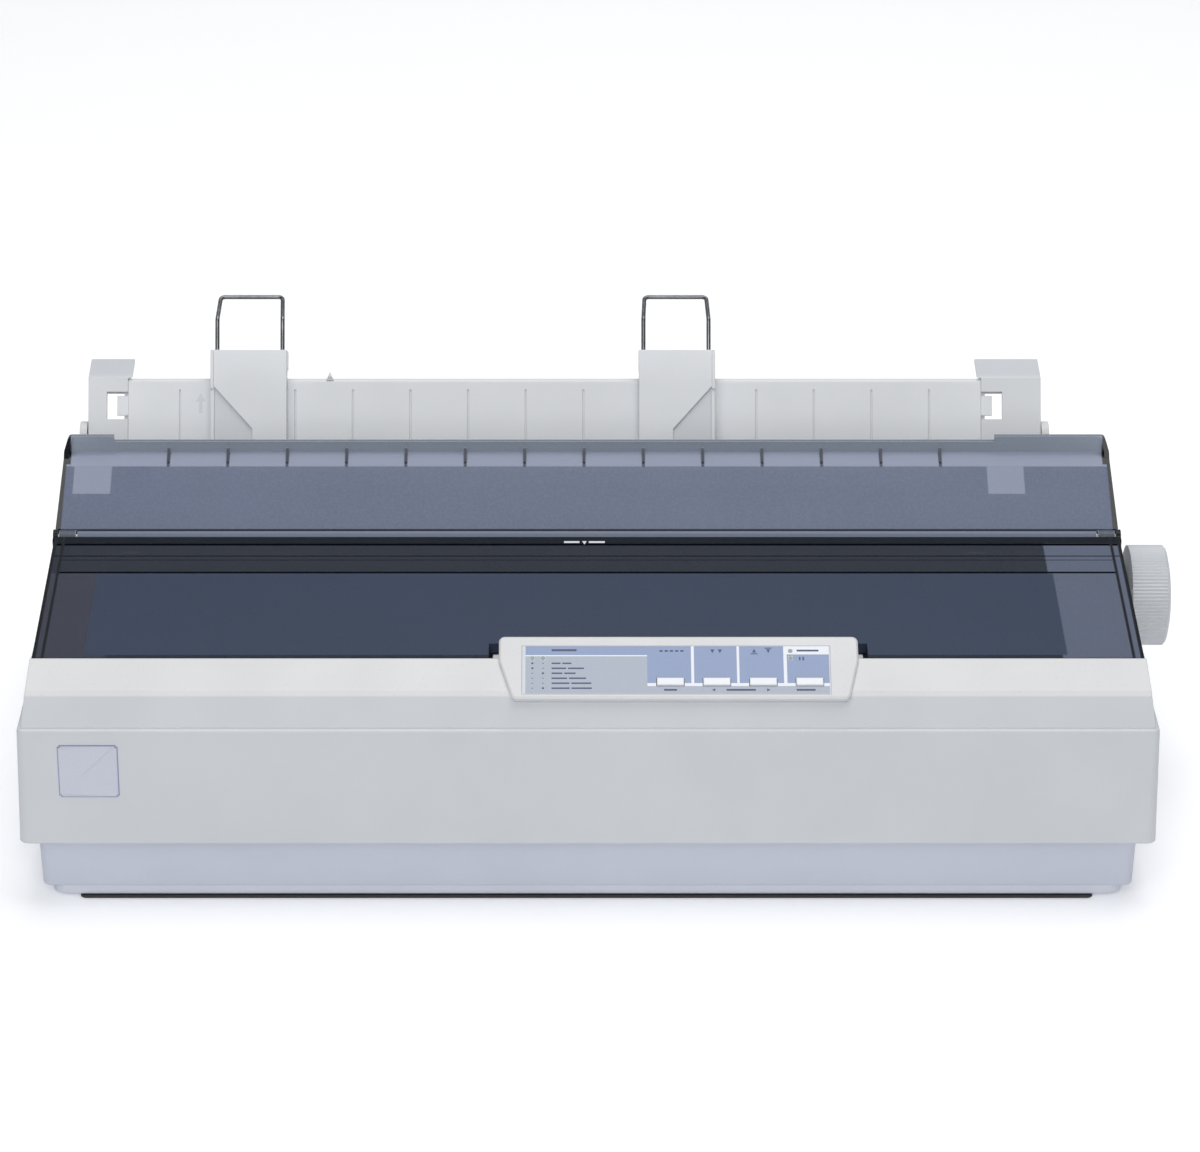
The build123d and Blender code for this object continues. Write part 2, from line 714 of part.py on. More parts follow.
def bracket(x0, x1, inner_side):
    """Hollow end bracket: face, cheeks, bevelled top, window and pivot bore."""
    y, z = guide_pivot
    top_y, top_z = guide_point(guide_height + 0.4, 0)
    back_y, back_z = top_y + 18.4, top_z + 2.8
    under_y, under_z = guide_point(guide_height - 2.1, -bracket_back)
    face = outline(guide_point(-bracket_drop, 0), (top_y, top_z), (back_y, back_z),
                   (back_y, back_z - 4), (under_y, under_z), guide_point(4, -bracket_back),
                   guide_point(-bracket_drop + 2, -7.0))
    skin = offset(face, -2.2, kind=Kind.INTERSECTION)
    hollow = along_x(skin, x0 + 2.2, x1 - 2.2)
    shell = along_x(face, x0, x1) - hollow
    open_back = guide_outline((-30, -5.0), (-30, -60), (38, -60), (38, -5.0))
    shell -= along_x(open_back, x0 + 2.2, x1 - 2.2)
    # bevelled top, reaching a little over the end of the panel
    cap = outline((top_y, top_z), (back_y, back_z), (back_y, back_z - 1.5),
                  (top_y + 3, top_z - 1.0))
    if inner_side == "right":
        shell += along_x(cap, x1 - 3, x1 + bracket_overhang)
        w0, w1 = x1 - window_width, x1 + 1
    else:
        shell += along_x(cap, x0 - bracket_overhang, x0 + 3)
        w0, w1 = x0 - 1, x0 + window_width
    # window in the face, open towards the panel
    window = guide_outline((window_low, -2.6), (window_low, 5), (window_high, 5),
                           (window_high, -2.6))
    shell -= along_x(window, w0, w1)
    return shell - rod_x(y, z, guide_pin_radius + pin_fit, x0 - 1, x1 + 1)


def guide_brackets():
    """Left and right end brackets of the sheet guide."""
    left = bracket(bracket_left, guide_left - 0.1, "right")
    right = bracket(guide_right + 0.1, bracket_right, "left")
    return left + right


def edge_guide(x0, outer):
    """Sliding guide that hooks over the panel and holds a paper support wire."""
    x1 = x0 + edge_guide_width
    low = 2.0
    high = low + edge_guide_height
    proud = edge_guide_proud
    back = -guide_thickness - 3.2
    under = guide_height + mark_rise + 1.0
    front = guide_outline((low, part_gap), (low, proud), (high, proud), (high, back - 2),
                          (under, back - 2), (under, part_gap))
    guide = along_x(front, x0, x1)
    hook = guide_outline((under, back), (under, back - 2),
                         (guide_height - 14, back - 2), (guide_height - 14, back))
    guide += along_x(hook, x0 + 4, x1 - 4)
    # lower outer corner cut back along a diagonal, for the edge of the sheet
    foot = (0, *guide_point(0, proud))
    plane = Plane(origin=foot, x_dir=(1, 0, 0), z_dir=(0, -GUIDE_SIN, GUIDE_COS))
    side, turn = (x0, 1) if outer == "left" else (x1, -1)
    flap = outline((side + 2 * turn, low - 3), (side + turn * (edge_guide_width - flap_inset), low - 3),
                   (side + turn * (edge_guide_width - flap_inset), flap_foot),
                   (side + 2 * turn, flap_top))
    rail = block(*sorted((side, side + 1.6 * turn)), flap_top - 1, high, 0, 0.8)
    guide -= extrude(plane * flap, -flap_depth)
    guide += plane * rail
    for x in wire_places(x0, outer):
        guide -= wire_leg(x, wire_radius + pin_fit, high + 1)
    return guide


def wire_places(x0, outer):
    """X of a support wire's left and right legs in the guide at x0."""
    left, right = (wire_outer, wire_inner) if outer == "left" else (wire_inner, wire_outer)
    return x0 + left, x0 + edge_guide_width - right


def wire_leg(x, radius, top):
    """Straight leg of a support wire, or the bore that it slides in."""
    low = 22.0
    y, z = guide_point(low, 4.2)
    plane = Plane(origin=(x, y, z), x_dir=(1, 0, 0), z_dir=(0, GUIDE_COS, GUIDE_SIN))
    return extrude(plane * Circle(radius), top - low)


def wire_support(x0, outer):
    """Paper support: one wire bent to a U, its top leaning back."""
    left, right = wire_places(x0, outer)
    start = 40.0
    bend = 2.0 + edge_guide_height + wire_rise
    back = math.radians(17)
    knee_y, knee_z = guide_point(bend, 4.2)
    tip_y = knee_y + wire_reach * math.cos(back)
    tip_z = knee_z + wire_reach * math.sin(back)
    foot_y, foot_z = guide_point(start, 4.2)
    inset = 0.8
    path = FilletPolyline((left, foot_y, foot_z), (left, knee_y, knee_z),
                          (left + inset, tip_y, tip_z), (right - inset, tip_y, tip_z),
                          (right, knee_y, knee_z), (right, foot_y, foot_z), radius=2.6)
    start_plane = Plane(origin=path @ 0, z_dir=path % 0)
    return sweep(start_plane * Circle(wire_radius), path=path)


# ---------------------------------------------------------------- frame
def base_frame():
    """Floor plate of the mechanism, lipped front and back and lightened."""
    x0, x1 = frame_left - 14, frame_right + 14
    y0, y1 = ribbon_front - 1, tractor_y + 22
    plate = block(x0, x1, y0, y1, frame_floor, frame_floor + frame_sheet)
    plate += block(x0, x1, y0, y0 + frame_sheet, frame_floor, frame_floor + 12)
    plate += block(x0, x1, y1 - frame_sheet, y1, frame_floor, frame_floor + 12)
    for i in range(5):
        x = frame_left + 46 + 80 * i
        plate -= block(x, x + 50, carriage_shaft_y - 25, carriage_shaft_y + 19, 0, 40)
    plate -= post(motor_x, carriage_shaft_y, motor_radius + 2, 0, 40)
    return plate


def side_face():
    """(Y, Z) outline of a side frame, with the cartridge's seat at the front."""
    foot = frame_floor + frame_sheet + seat_gap
    seat = ribbon_seat - seat_gap
    front, back = ribbon_front + 3, tractor_y + 18
    crest = platen_z + 9.7
    return outline((front, foot), (front, platen_z - 32.3), (front + 2, seat),
                   (ribbon_back + 1, seat), (ribbon_back + 8, platen_z - 10.3),
                   (carriage_shaft_y + 15, platen_z - 4.3), (platen_y - 26, crest),
                   (platen_y + 14, crest + 3), (tractor_y - 16, crest), (back - 2, crest),
                   (back, foot))


def side_frame(x0, toe):
    """Side frame sheet with its foot, seats for the shafts and a window."""
    x1 = x0 + frame_sheet
    sheet = along_x(side_face(), x0, x1)
    foot = frame_floor + frame_sheet + seat_gap
    f0, f1 = (x0 - 10, x0) if toe < 0 else (x1, x1 + 10)
    sheet += block(f0, f1, ribbon_front + 7, tractor_y + 14, foot, foot + frame_sheet)
    sheet -= rod_x(platen_y, platen_z, platen_shaft_radius + pin_fit, x0 - 1, x1 + 1)
    sheet -= rod_x(carriage_shaft_y, carriage_shaft_z, 4.0 + tight_fit, x0 - 1, x1 + 1)
    sheet -= rod_x(tractor_y, tractor_z, tractor_shaft_radius + pin_fit, x0 - 1, x1 + 1)
    sheet -= rod_x(tractor_y + 10, rail_z, 2.5 + tight_fit, x0 - 1, x1 + 1)
    sheet -= rod_x(roller_y, roller_z, 2.0 + pin_fit, x0 - 1, x1 + 1)
    return sheet


tractor_shaft_radius = 3.6
rail_z = tractor_z - 12.0
roller_radius = 4.5
roller_width = 22.0
roller_count = 6
roller_start = 20.0          # from the platen's left end
roller_end = 13.0            # and from its right end
roller_angle = math.radians(-70)
roller_reach = platen_radius + roller_radius + part_gap
roller_y = platen_y + roller_reach * math.cos(roller_angle)
roller_z = platen_z + roller_reach * math.sin(roller_angle)


def gear_centres():
    """(Y, Z) of the idler and the motor pinion in the left gear train."""
    reach_a = gear_module * (platen_teeth + idler_teeth) / 2
    reach_b = gear_module * (tractor_teeth + idler_teeth) / 2
    dy, dz = tractor_y - platen_y, tractor_z - platen_z
    span = math.hypot(dy, dz)
    along = (reach_a ** 2 - reach_b ** 2 + span ** 2) / (2 * span)
    drop = math.sqrt(reach_a ** 2 - along ** 2)
    idler = (platen_y + (along * dy + drop * dz) / span,
             platen_z + (along * dz - drop * dy) / span)
    reach_c = gear_module * (idler_teeth + pinion_teeth) / 2
    pinion = (idler[0], idler[1] - reach_c)
    return idler, pinion


idler_place, pinion_place = gear_centres()


def meshed_phase(place, teeth, phase, mate_place, mate_teeth):
    """Angle of a tooth of the mate, so that both gears are in mesh."""
    way = math.atan2(mate_place[1] - place[1], mate_place[0] - place[0])
    share = (way - phase) * teeth / (2 * math.pi)
    return way + math.pi - (0.5 - share) * 2 * math.pi / mate_teeth


def gear(place, teeth, phase, bore, x0, x1):
    """Spur gear about an axis along X, with straight-sided teeth."""
    pitch_radius = gear_module * teeth / 2
    tip = pitch_radius + 0.75 * gear_module
    root = pitch_radius - 1.1 * gear_module
    pitch = 2 * math.pi / teeth
    points = []
    for i in range(teeth):
        centre = phase + i * pitch
        for radius, share in ((root, -0.27), (tip, -0.09), (tip, 0.09), (root, 0.27)):
            angle = centre + share * pitch
            points.append((place[0] + radius * math.cos(angle),
                           place[1] + radius * math.sin(angle)))
    wheel = along_x(outline(*points), x0, x1)
    return wheel - rod_x(place[0], place[1], bore, x0 - 1, x1 + 1)


gear_x1 = frame_left - 2.0
gear_x0 = gear_x1 - gear_width
platen_phase = 0.0
idler_phase = meshed_phase((platen_y, platen_z), platen_teeth, platen_phase,
                           idler_place, idler_teeth)
tractor_phase = meshed_phase(idler_place, idler_teeth, idler_phase,
                             (tractor_y, tractor_z), tractor_teeth)
pinion_phase = meshed_phase(idler_place, idler_teeth, idler_phase,
                            pinion_place, pinion_teeth)


def platen_roller():
    """Rubber roller on its shaft."""
    tube = rod_x(platen_y, platen_z, platen_radius, platen_left, platen_right)
    return tube - rod_x(platen_y, platen_z, platen_shaft_radius, platen_left - 1, platen_right + 1)


def platen_shaft():
    """Shaft of the platen, out through the case wall to the knob."""
    return rod_x(platen_y, platen_z, platen_shaft_radius, gear_x0 - 2, half_x + knob_seat)


def platen_knob():
    """Finely fluted hand knob with a domed end."""
    x0 = half_x + knob_gap
    x1 = x0 + knob_width
    pitch = math.pi / knob_flutes
    grip = outline(*[((knob_radius - flute_depth * (i % 2)) * math.cos(i * pitch),
                      (knob_radius - flute_depth * (i % 2)) * math.sin(i * pitch))
                     for i in range(2 * knob_flutes)])
    knob = along_x(grip, x0, x1 - knob_crown)
    root = knob_radius - flute_depth
    dome = make_face(Polyline((x0, 0), (x0, root - 1), (x1 - knob_crown, root - 0.1),
                              (x1 - knob_crown + 0.9, root - 0.6), (x1 - 0.9, root - 5.5),
                              (x1, root - 13), (x1, 0), close=True))
    knob += revolve(dome, Axis.X)
    knob -= along_x(Circle(platen_shaft_radius), x0 - 1, half_x + knob_seat)
    return Pos(0, platen_y, platen_z) * knob


def platen_gear():
    return gear((platen_y, platen_z), platen_teeth, platen_phase, platen_shaft_radius,
                gear_x0, gear_x1)


def idler_gear():
    """Gear between platen and tractor, turning on a stud of the side frame."""
    return gear(idler_place, idler_teeth, idler_phase, 3 + pin_fit, gear_x0, gear_x1)


def motor_pinion():
    """Pinion and shaft of the paper feed motor."""
    wheel = gear(pinion_place, pinion_teeth, pinion_phase, 1.5, gear_x0, gear_x1)
    return wheel + rod_x(*pinion_place, 1.5, gear_x0, frame_left + frame_sheet + 8)


def left_side_frame():
    """Left side frame, with the idler's stud and the motor's opening."""
    sheet = side_frame(frame_left, -1)
    sheet += rod_x(*idler_place, 3, gear_x0 - 1, frame_left + 1)
    return sheet - rod_x(*pinion_place, 7, frame_left - 1, frame_left + 5)


def right_side_frame():
    return side_frame(frame_right - frame_sheet, 1)


def paper_feed_motor():
    """Stepper motor on the inside of the left side frame."""
    x0 = frame_left + frame_sheet + seat_gap
    can = rod_x(*pinion_place, motor_radius, x0, x0 + 20)
    can += rod_x(*pinion_place, 6, x0 - 2, x0 + 1)
    can += block(x0, x0 + 1.5, pinion_place[0] - 24, pinion_place[0] + 24,
                 pinion_place[1] - 8, pinion_place[1] + 8)
    return can - rod_x(*pinion_place, 1.5 + pin_fit, x0 - 5, x0 + 9)


def carriage_shaft():
    """Ground shaft that the carriage runs on, turned down at both ends."""
    x0, x1 = frame_left + frame_sheet + 0.2, frame_right - frame_sheet - 0.2
    shaft = rod_x(carriage_shaft_y, carriage_shaft_z, carriage_shaft_radius, x0, x1)
    return shaft + rod_x(carriage_shaft_y, carriage_shaft_z, 4.0, frame_left, frame_right)


def carriage_bed():
    """Cross member with the carriage's front rail and the motor's seat."""
    x0, x1 = frame_left + frame_sheet + seat_gap, frame_right - frame_sheet - seat_gap
    z = belt_height - 7
    y0, y1 = carriage_shaft_y - 31, carriage_shaft_y + 25
    bed = block(x0, x1, y0, y1, z - frame_sheet, z)
    bed += block(x0, x1, y0, y0 + frame_sheet, z - 8, z)
    bed += block(x0, x1, y1 - frame_sheet, y1, z - 8, z)
    rail_top = carriage_shaft_z - 10
    bed += block(x0, x1, y0 + frame_sheet, y0 + 2 * frame_sheet, z - 1, rail_top)
    bed += block(x0, x1, y0 + frame_sheet, y0 + 12, rail_top - 1.5, rail_top)
    bed -= post(motor_x, carriage_shaft_y, 6, 0, beyond)
    bed += post(pulley_x, carriage_shaft_y, 2, z - 1, belt_height + 4)
    # lightening windows, spread between the motor and the pulley
    pitch = (pulley_x - motor_x - bed_motor_margin - bed_pulley_margin) / bed_windows
    for i in range(bed_windows):
        x = motor_x + bed_motor_margin + pitch * (i + 0.5) - bed_window_width / 2
        bed -= block(x, x + bed_window_width, carriage_shaft_y - 15, carriage_shaft_y + 15,
                     z - 10, z + 1)
    return bed


bed_windows = 4
bed_window_width = 40.0
bed_motor_margin = 47.0
motor_x = frame_left + 24.0
motor_radius = 18.0
pulley_x = frame_right - 16.0
bed_pulley_margin = 13.0
belt_thickness = 1.2
pulley_radius = belt_half_width - belt_thickness / 2 - 0.1


def carriage_motor():
    """Stepper motor hung under the left end of the cross member."""
    top = belt_height - 7 - frame_sheet - seat_gap
    can = post(motor_x, carriage_shaft_y, motor_radius, top - 24, top)
    can += post(motor_x, carriage_shaft_y, 5.5, top - 1, top + 3)
    return can - post(motor_x, carriage_shaft_y, 1.5 + pin_fit, top - 9, top + 5)


def pulley(x, bore):
    """Toothed belt pulley between two flanges."""
    z0 = belt_height - 3.2
    wheel = post(x, carriage_shaft_y, pulley_radius, z0 - 0.8, belt_height + 4)
    wheel += post(x, carriage_shaft_y, pulley_radius + 2, z0 - 0.8, z0)
    wheel += post(x, carriage_shaft_y, pulley_radius + 2, belt_height + 3.2, belt_height + 4)
    return wheel - post(x, carriage_shaft_y, bore, z0 - 5, belt_height + 8)


def drive_pulley():
    """Pulley on the carriage motor's shaft."""
    top = belt_height - 7 - frame_sheet - seat_gap
    return pulley(motor_x, 1.4) + post(motor_x, carriage_shaft_y, 1.5, top - 8, belt_height + 4)


def idler_pulley():
    """Pulley at the right end of the belt."""
    return pulley(pulley_x, 2 + pin_fit)


def timing_belt():
    """Closed belt round both pulleys."""
    def loop(radius):
        middle = (motor_x + pulley_x) / 2
        face = Pos(middle, carriage_shaft_y) * SlotOverall(pulley_x - motor_x + 2 * radius,
                                                           2 * radius)
        return extrude(Plane.XY.offset(belt_height - 2.9) * face, 5.8)
    return loop(belt_half_width + belt_thickness / 2) - loop(belt_half_width - belt_thickness / 2)


def carriage():
    """Print head carriage: bearing block, front foot and belt clamp."""
    x0 = carriage_home_x - carriage_width / 2
    x1 = x0 + carriage_width
    y, z = carriage_shaft_y, carriage_shaft_z
    rail_top = z - 10
    body = outline((y - 26, rail_top + part_gap), (y - 26, rail_top + 5), (y - 12, z + 9),
                   (y + 10, z + 9), (y + 22, z + 4), (y + 22, z - 2), (y + 9, z - 9),
                   (y - 9, z - 9), (y - 14, rail_top + part_gap))
    block_body = along_x(body, x0, x1)
    block_body -= rod_x(y, z, carriage_shaft_radius + pin_fit, x0 - 1, x1 + 1)
    clamp_y = y + belt_half_width
    clamp = block(x0 + 12, x1 - 12, clamp_y - 2.6, clamp_y + 2.6, belt_height - 3.6, z - 8)
    slot = block(x0, x1, clamp_y - 0.9, clamp_y + 0.9, belt_height - 3.2, belt_height + 3.2)
    block_body += clamp - slot
    for x in (x0, x1 - 2.5):
        block_body += along_x(outline((y - 12, z + 8), (y + 14, z + 8), (y + 10, z + 20),
                                      (y - 6, z + 20)), x, x + 2.5)
    return block_body


def print_head():
    """Nine-pin head: finned body with its nose just short of the platen."""
    y0 = carriage_shaft_y - 6
    nose = platen_y - platen_radius - 0.8
    z = platen_z
    body = Pos(carriage_home_x, 0, z) * Rot(90, 0, 0) * Cylinder(13, 22)
    body = Pos(0, y0 + 14, 0) * body
    for i in range(5):
        fin = Pos(carriage_home_x, y0 + 5 + 4.2 * i, z + 1) * Box(34, 1.8, 26)
        body += fin
    snout = outline((y0 + 24, z - 6), (nose, z - 1.8), (nose, z + 1.8), (y0 + 24, z + 6))
    body += along_x(snout, carriage_home_x - 4, carriage_home_x + 4)
    body += block(carriage_home_x - 12, carriage_home_x + 12, y0 + 2, y0 + 24,
                  carriage_shaft_z + 9 + seat_gap, z - 8)
    return body


def ribbon_cartridge():
    """Full-width ribbon case in front of the carriage, with an arm at each end."""
    x0, x1 = frame_left + 6, frame_right - 6
    z0 = ribbon_seat
    box = block(x0, x1, ribbon_front, ribbon_back, z0, ribbon_top)
    box = chamfer(box.faces().sort_by(Axis.Z)[-1].edges(), 1.2)
    for a, b in ((x0, x0 + arm_width), (x1 - arm_width, x1)):
        arm = outline((ribbon_back - 2, z0), (ribbon_back - 2, ribbon_top - 2),
                      (ribbon_tip, ribbon_top - 6), (ribbon_tip, band_low - 2),
                      (ribbon_tip - 9, band_low - 2), (ribbon_tip - 20, z0))
        box += along_x(arm, a, b)
    # end tabs that stand on the side frames
    for a, b in ((frame_left - 1, x0 + 1), (x1 - 1, frame_right + 1)):
        box += block(a, b, ribbon_front + 8, ribbon_back - 4, z0, z0 + 4)
    for x in (x0 + 60, x1 - 64):
        box += block(x, x + 4, ribbon_front + 4, ribbon_back - 4, ribbon_top - 1, ribbon_top + 1)
    return box - post(ribbon_knob_x, ribbon_knob_y, 2 + pin_fit, z0 + 3, ribbon_top + 5)


ribbon_tip = 0.6
ribbon_seat = ribbon_top - 15.0
arm_width = 7.0
band_low = platen_z - 6.3
band_width = 12.6
ribbon_knob_x = frame_left + 41.0
ribbon_knob_y = ribbon_front + 17.0


def ink_ribbon():
    """Inked band stretched between the cartridge's arms, past the head's nose."""
    x0 = frame_left + 6 + arm_width + seat_gap
    x1 = frame_right - 6 - arm_width - seat_gap
    y = platen_y - platen_radius - 0.5
    return block(x0, x1, y, y + 0.2, band_low, band_low + band_width)


def ribbon_knob():
    """Winding knob on the cartridge."""
    knob = post(ribbon_knob_x, ribbon_knob_y, 7, ribbon_top + part_gap, ribbon_top + 5)
    for i in range(6):
        spot = Rot(0, 0, 60 * i) * Pos(7.4, 0)
        knob -= Pos(ribbon_knob_x, ribbon_knob_y, ribbon_top + 4) * spot * Cylinder(1.6, 10)
    return knob + post(ribbon_knob_x, ribbon_knob_y, 2, ribbon_top - 10, ribbon_top + 1)


def paper_guide():
    """Chute from the tractors down to the platen, curling under it."""
    gap = 1.6
    sheet = 1.2
    r0 = platen_radius + gap
    start, end = math.radians(-8), math.radians(-46)
    x0, x1 = platen_left + 2, platen_right - 2
    near = [(platen_y + r0 * math.cos(a), platen_z + r0 * math.sin(a))
            for a in (start, (start + end) / 2, end)]
    outer = [(platen_y + (r0 + sheet) * math.cos(a), platen_z + (r0 + sheet) * math.sin(a))
             for a in (start, (start + end) / 2, end)]
    back_y = tractor_y - tractor_length / 2 - 2
    back_z = tractor_z + 9
    edge = [Line((back_y, back_z), (platen_y + r0 + 7, platen_z + 1)),
            Line((platen_y + r0 + 7, platen_z + 1), near[0]),
            ThreePointArc(*near), Line(near[2], outer[2]),
            ThreePointArc(outer[2], outer[1], outer[0]),
            Line(outer[0], (platen_y + r0 + 7, platen_z + 1 - 2 * sheet)),
            Line((platen_y + r0 + 7, platen_z + 1 - 2 * sheet), (back_y, back_z - sheet)),
            Line((back_y, back_z - sheet), (back_y, back_z))]
    chute = along_x(make_face(Curve() + edge), x0, x1)
    # stiffening ribs under the chute and end tabs on the side frames
    for i in range(5):
        x = platen_left + 52 + 80 * i
        rib = outline((platen_y + r0 + 6, platen_z - 1), (back_y - 1, back_z - 1),
                      (back_y - 1, back_z - 6), (platen_y + r0 + 6, platen_z - 8))
        chute += along_x(rib, x, x + 1.5)
    inner = frame_sheet + seat_gap
    for a, b in ((frame_left + inner, x0), (x1, frame_right - inner)):
        chute += block(a, b, back_y - 10, back_y - 4, back_z - 9.2, back_z - 4.4)
    return chute


def pressure_rollers():
    """Rollers that press the paper to the platen, on one shaft."""
    shaft = rod_x(roller_y, roller_z, 2.0, frame_left, frame_right)
    pitch = (platen_right - platen_left - roller_start - roller_end - roller_width)
    pitch /= roller_count - 1
    for i in range(roller_count):
        x = platen_left + roller_start + i * pitch
        shaft += rod_x(roller_y, roller_z, roller_radius, x, x + roller_width)
    return shaft


# ---------------------------------------------------------------- tractors
def tractor_shaft():
    """Driven shaft of the tractors."""
    return rod_x(tractor_y, tractor_z, tractor_shaft_radius, gear_x0 - 2, frame_right + 3)


def tractor_gear():
    return gear((tractor_y, tractor_z), tractor_teeth, tractor_phase, tractor_shaft_radius,
                gear_x0, gear_x1)


def tractor_rail():
    """Plain rod that keeps the tractors upright."""
    return rod_x(tractor_y + 10, rail_z, 2.5, frame_left, frame_right)


lid_thickness = 2.0


def tractor(x, hinge_side):
    """Sprocket feed unit: body, pin belt and the lid's hinge lugs."""
    x0, x1 = x - tractor_width / 2, x + tractor_width / 2
    y0, y1 = tractor_y - tractor_length / 2, tractor_y + tractor_length / 2
    top = tractor_z + 11
    face = outline((y0 + 4, tractor_z - 9), (y1 - 4, tractor_z - 18), (y1, tractor_z - 12),
                   (y1, top - 4), (y1 - 4, top), (y0 + 4, top), (y0, top - 4),
                   (y0, tractor_z - 4))
    body = along_x(face, x0, x1)
    body -= rod_x(tractor_y, tractor_z, tractor_shaft_radius + pin_fit, x0 - 1, x1 + 1)
    body -= rod_x(tractor_y + 10, rail_z, 2.5 + pin_fit, x0 - 1, x1 + 1)
    pin_x = x0 + 11 if hinge_side < 0 else x1 - 11
    body -= block(pin_x - 4, pin_x + 4, y0 - 1, y1 + 1, top - 0.8, top + 5)
    for i in range(3):
        body += post(pin_x, tractor_y + (i - 1) * 12.7, 1.8, top - 2, top + 1.2)
    hx = tractor_hinge_x(x, hinge_side)
    for y in (y0 + 4, y1 - 8):
        lug = Pos(hx, y + 2, top + lid_hinge_rise) * Rot(90, 0, 0) * Cylinder(2.2, 4)
        lug += block(hx - 2.2, hx + 2.2, y, y + 4, top - 2, top + lid_hinge_rise)
        lug -= Pos(hx, y + 2, top + lid_hinge_rise) * Rot(90, 0, 0) * Cylinder(1 + pin_fit, 6)
        body += lug
    return body


lid_hinge_rise = 3.2


def tractor_hinge_x(x, hinge_side):
    """X of the line that a tractor's lid turns on."""
    return x + hinge_side * (tractor_width / 2 - 2.3)


def tractor_lid(x, hinge_side):
    """Lid that holds the paper on the pins, with a slot over them."""
    y0, y1 = tractor_y - tractor_length / 2 + 1, tractor_y + tractor_length / 2 - 1
    top = tractor_z + 11
    hx = tractor_hinge_x(x, hinge_side)
    z = top + lid_hinge_rise
    inner = hx - hinge_side * 2.6
    far = x - hinge_side * tractor_width / 2
    a, b = sorted((inner, far))
    lid = block(a, b, y0, y1, z - 1.0, z - 1.0 + lid_thickness)
    c, d = sorted((hx - hinge_side * 0.2, inner - hinge_side * 1.0))
    lid += block(c, d, y0 + 8, y1 - 8, z - 1.0, z + 1.0)
    lid += Pos(hx, tractor_y, z) * Rot(90, 0, 0) * Cylinder(1.0, tractor_length - 9)
    pin_x = x + hinge_side * (tractor_width / 2 - 11)
    lid -= block(pin_x - 2.6, pin_x + 2.6, y0 + 3, y1 - 3, z - 5, z + 5)
    return lid


# ---------------------------------------------------------------- levers, power, boards
def head_gap_lever():
    """Lever on the left end of the carriage shaft that sets the head's distance."""
    x0 = frame_left + frame_sheet + part_gap
    x1 = x0 + 2.2
    y, z = carriage_shaft_y, carriage_shaft_z
    grip = top_height - 10
    arm = outline((y - 5, z), (y + 5, z), (y + 19, grip), (y + 22, grip + 9),
                  (y + 16, grip + 10), (y + 13, grip))
    piece = along_x(arm, x0, x1) + rod_x(y, z, 8.5, x0, x1)
    piece += block(x0, x0 + 8, y + 16, y + 21, grip + 4.5, grip + 9)
    return piece - rod_x(y, z, carriage_shaft_radius + pin_fit, x0 - 1, x1 + 1)


board_height = 30.0
board_sheet = 1.6
board_front = 22.0
board_depth = 68.0
supply_width = 160.0
supply_inset = 14.0          # from the right side frame
supply_x = frame_right - supply_inset - supply_width
boards_gap = 50.0
main_board_inset = 56.0      # from the left side frame
main_board_x = frame_left + main_board_inset
main_board_width = supply_x - boards_gap - main_board_x


def board_on_posts(x0, width):
    """Circuit board on four stand-offs that rest on the base frame."""
    z = board_height
    y0, y1 = board_front, board_front + board_depth
    board = block(x0, x0 + width, y0, y1, z, z + board_sheet)
    for x in (x0 + 6, x0 + width - 6):
        for y in (y0 + 6, y1 - 6):
            board += post(x, y, 3, frame_floor + frame_sheet + seat_gap, z + 1)
    return board


def main_board():
    """Main circuit board with its larger components."""
    board = board_on_posts(main_board_x, main_board_width)
    z = board_height
    for dx, dy, w, l, h in ((40, 38, 46, 14, 5), (main_board_width - 80, 23, 22, 22, 4),
                            (main_board_width - 40, 48, 36, 12, 5), (25, 12, 20, 8, 8),
                            (main_board_width - 20, 14, 10, 10, 14)):
        x, y = main_board_x + dx, board_front + dy
        board += block(x - w / 2, x + w / 2, y - l / 2, y + l / 2, z + 1, z + board_sheet + h)
    return board


def power_supply():
    """Power supply board with transformer, capacitors and heat sink."""
    board = board_on_posts(supply_x, supply_width)
    x, y, z = supply_x + supply_width, board_front, board_height
    board += block(x - 140, x - 96, y + 12, y + 54, z + 1, z + 38)
    board += block(x - 14, x - 11, y + 4, y + 64, z + 1, z + 34)
    for i in range(3):
        board += post(x - 78 + 22 * i, y + 18, 8, z + 1, z + 28)
    return board


def ac_inlet():
    """Mains inlet in the rear wall, with three blades."""
    back = half_y + wall_flare
    hw, hh = 13.8, 10.0
    depth = 22.0
    body = block(inlet_x - hw, inlet_x + hw, back - depth, back - 0.2, inlet_z - hh, inlet_z + hh)
    body += block(inlet_x - hw - 3, inlet_x + hw + 3, half_y - wall - 3.2, half_y - wall - 0.7,
                  inlet_z - hh - 3, inlet_z + hh + 3)
    cavity = block(inlet_x - 12, inlet_x + 12, back - 17, back + 1, inlet_z - 8, inlet_z + 8)
    top_edges = cavity.edges().filter_by(Axis.Y).group_by(Axis.Z)[-1]
    body -= chamfer(top_edges, 4)
    for x, z in ((-7, -2), (7, -2), (0, 2)):
        body += block(inlet_x + x - 1, inlet_x + x + 1, back - 18, back - 6,
                      inlet_z + z - 2, inlet_z + z + 2)
    return body


def interface_connector():
    """Parallel connector in the rear wall: shroud, tongue and wire bails' lugs."""
    back = half_y + wall_flare
    x, z = connector_x, connector_z
    shroud = block(x - 30.5, x + 30.5, back - 20, back - 0.4, z - 7.5, z + 7.5)
    shroud += block(x - 35, x + 35, half_y - wall - 3.2, half_y - wall - 0.7, z - 10, z + 10)
    shroud -= block(x - 27, x + 27, back - 9, back + 1, z - 5.5, z + 5.5)
    return shroud + block(x - 23, x + 23, back - 10, back - 2, z - 2, z + 2)


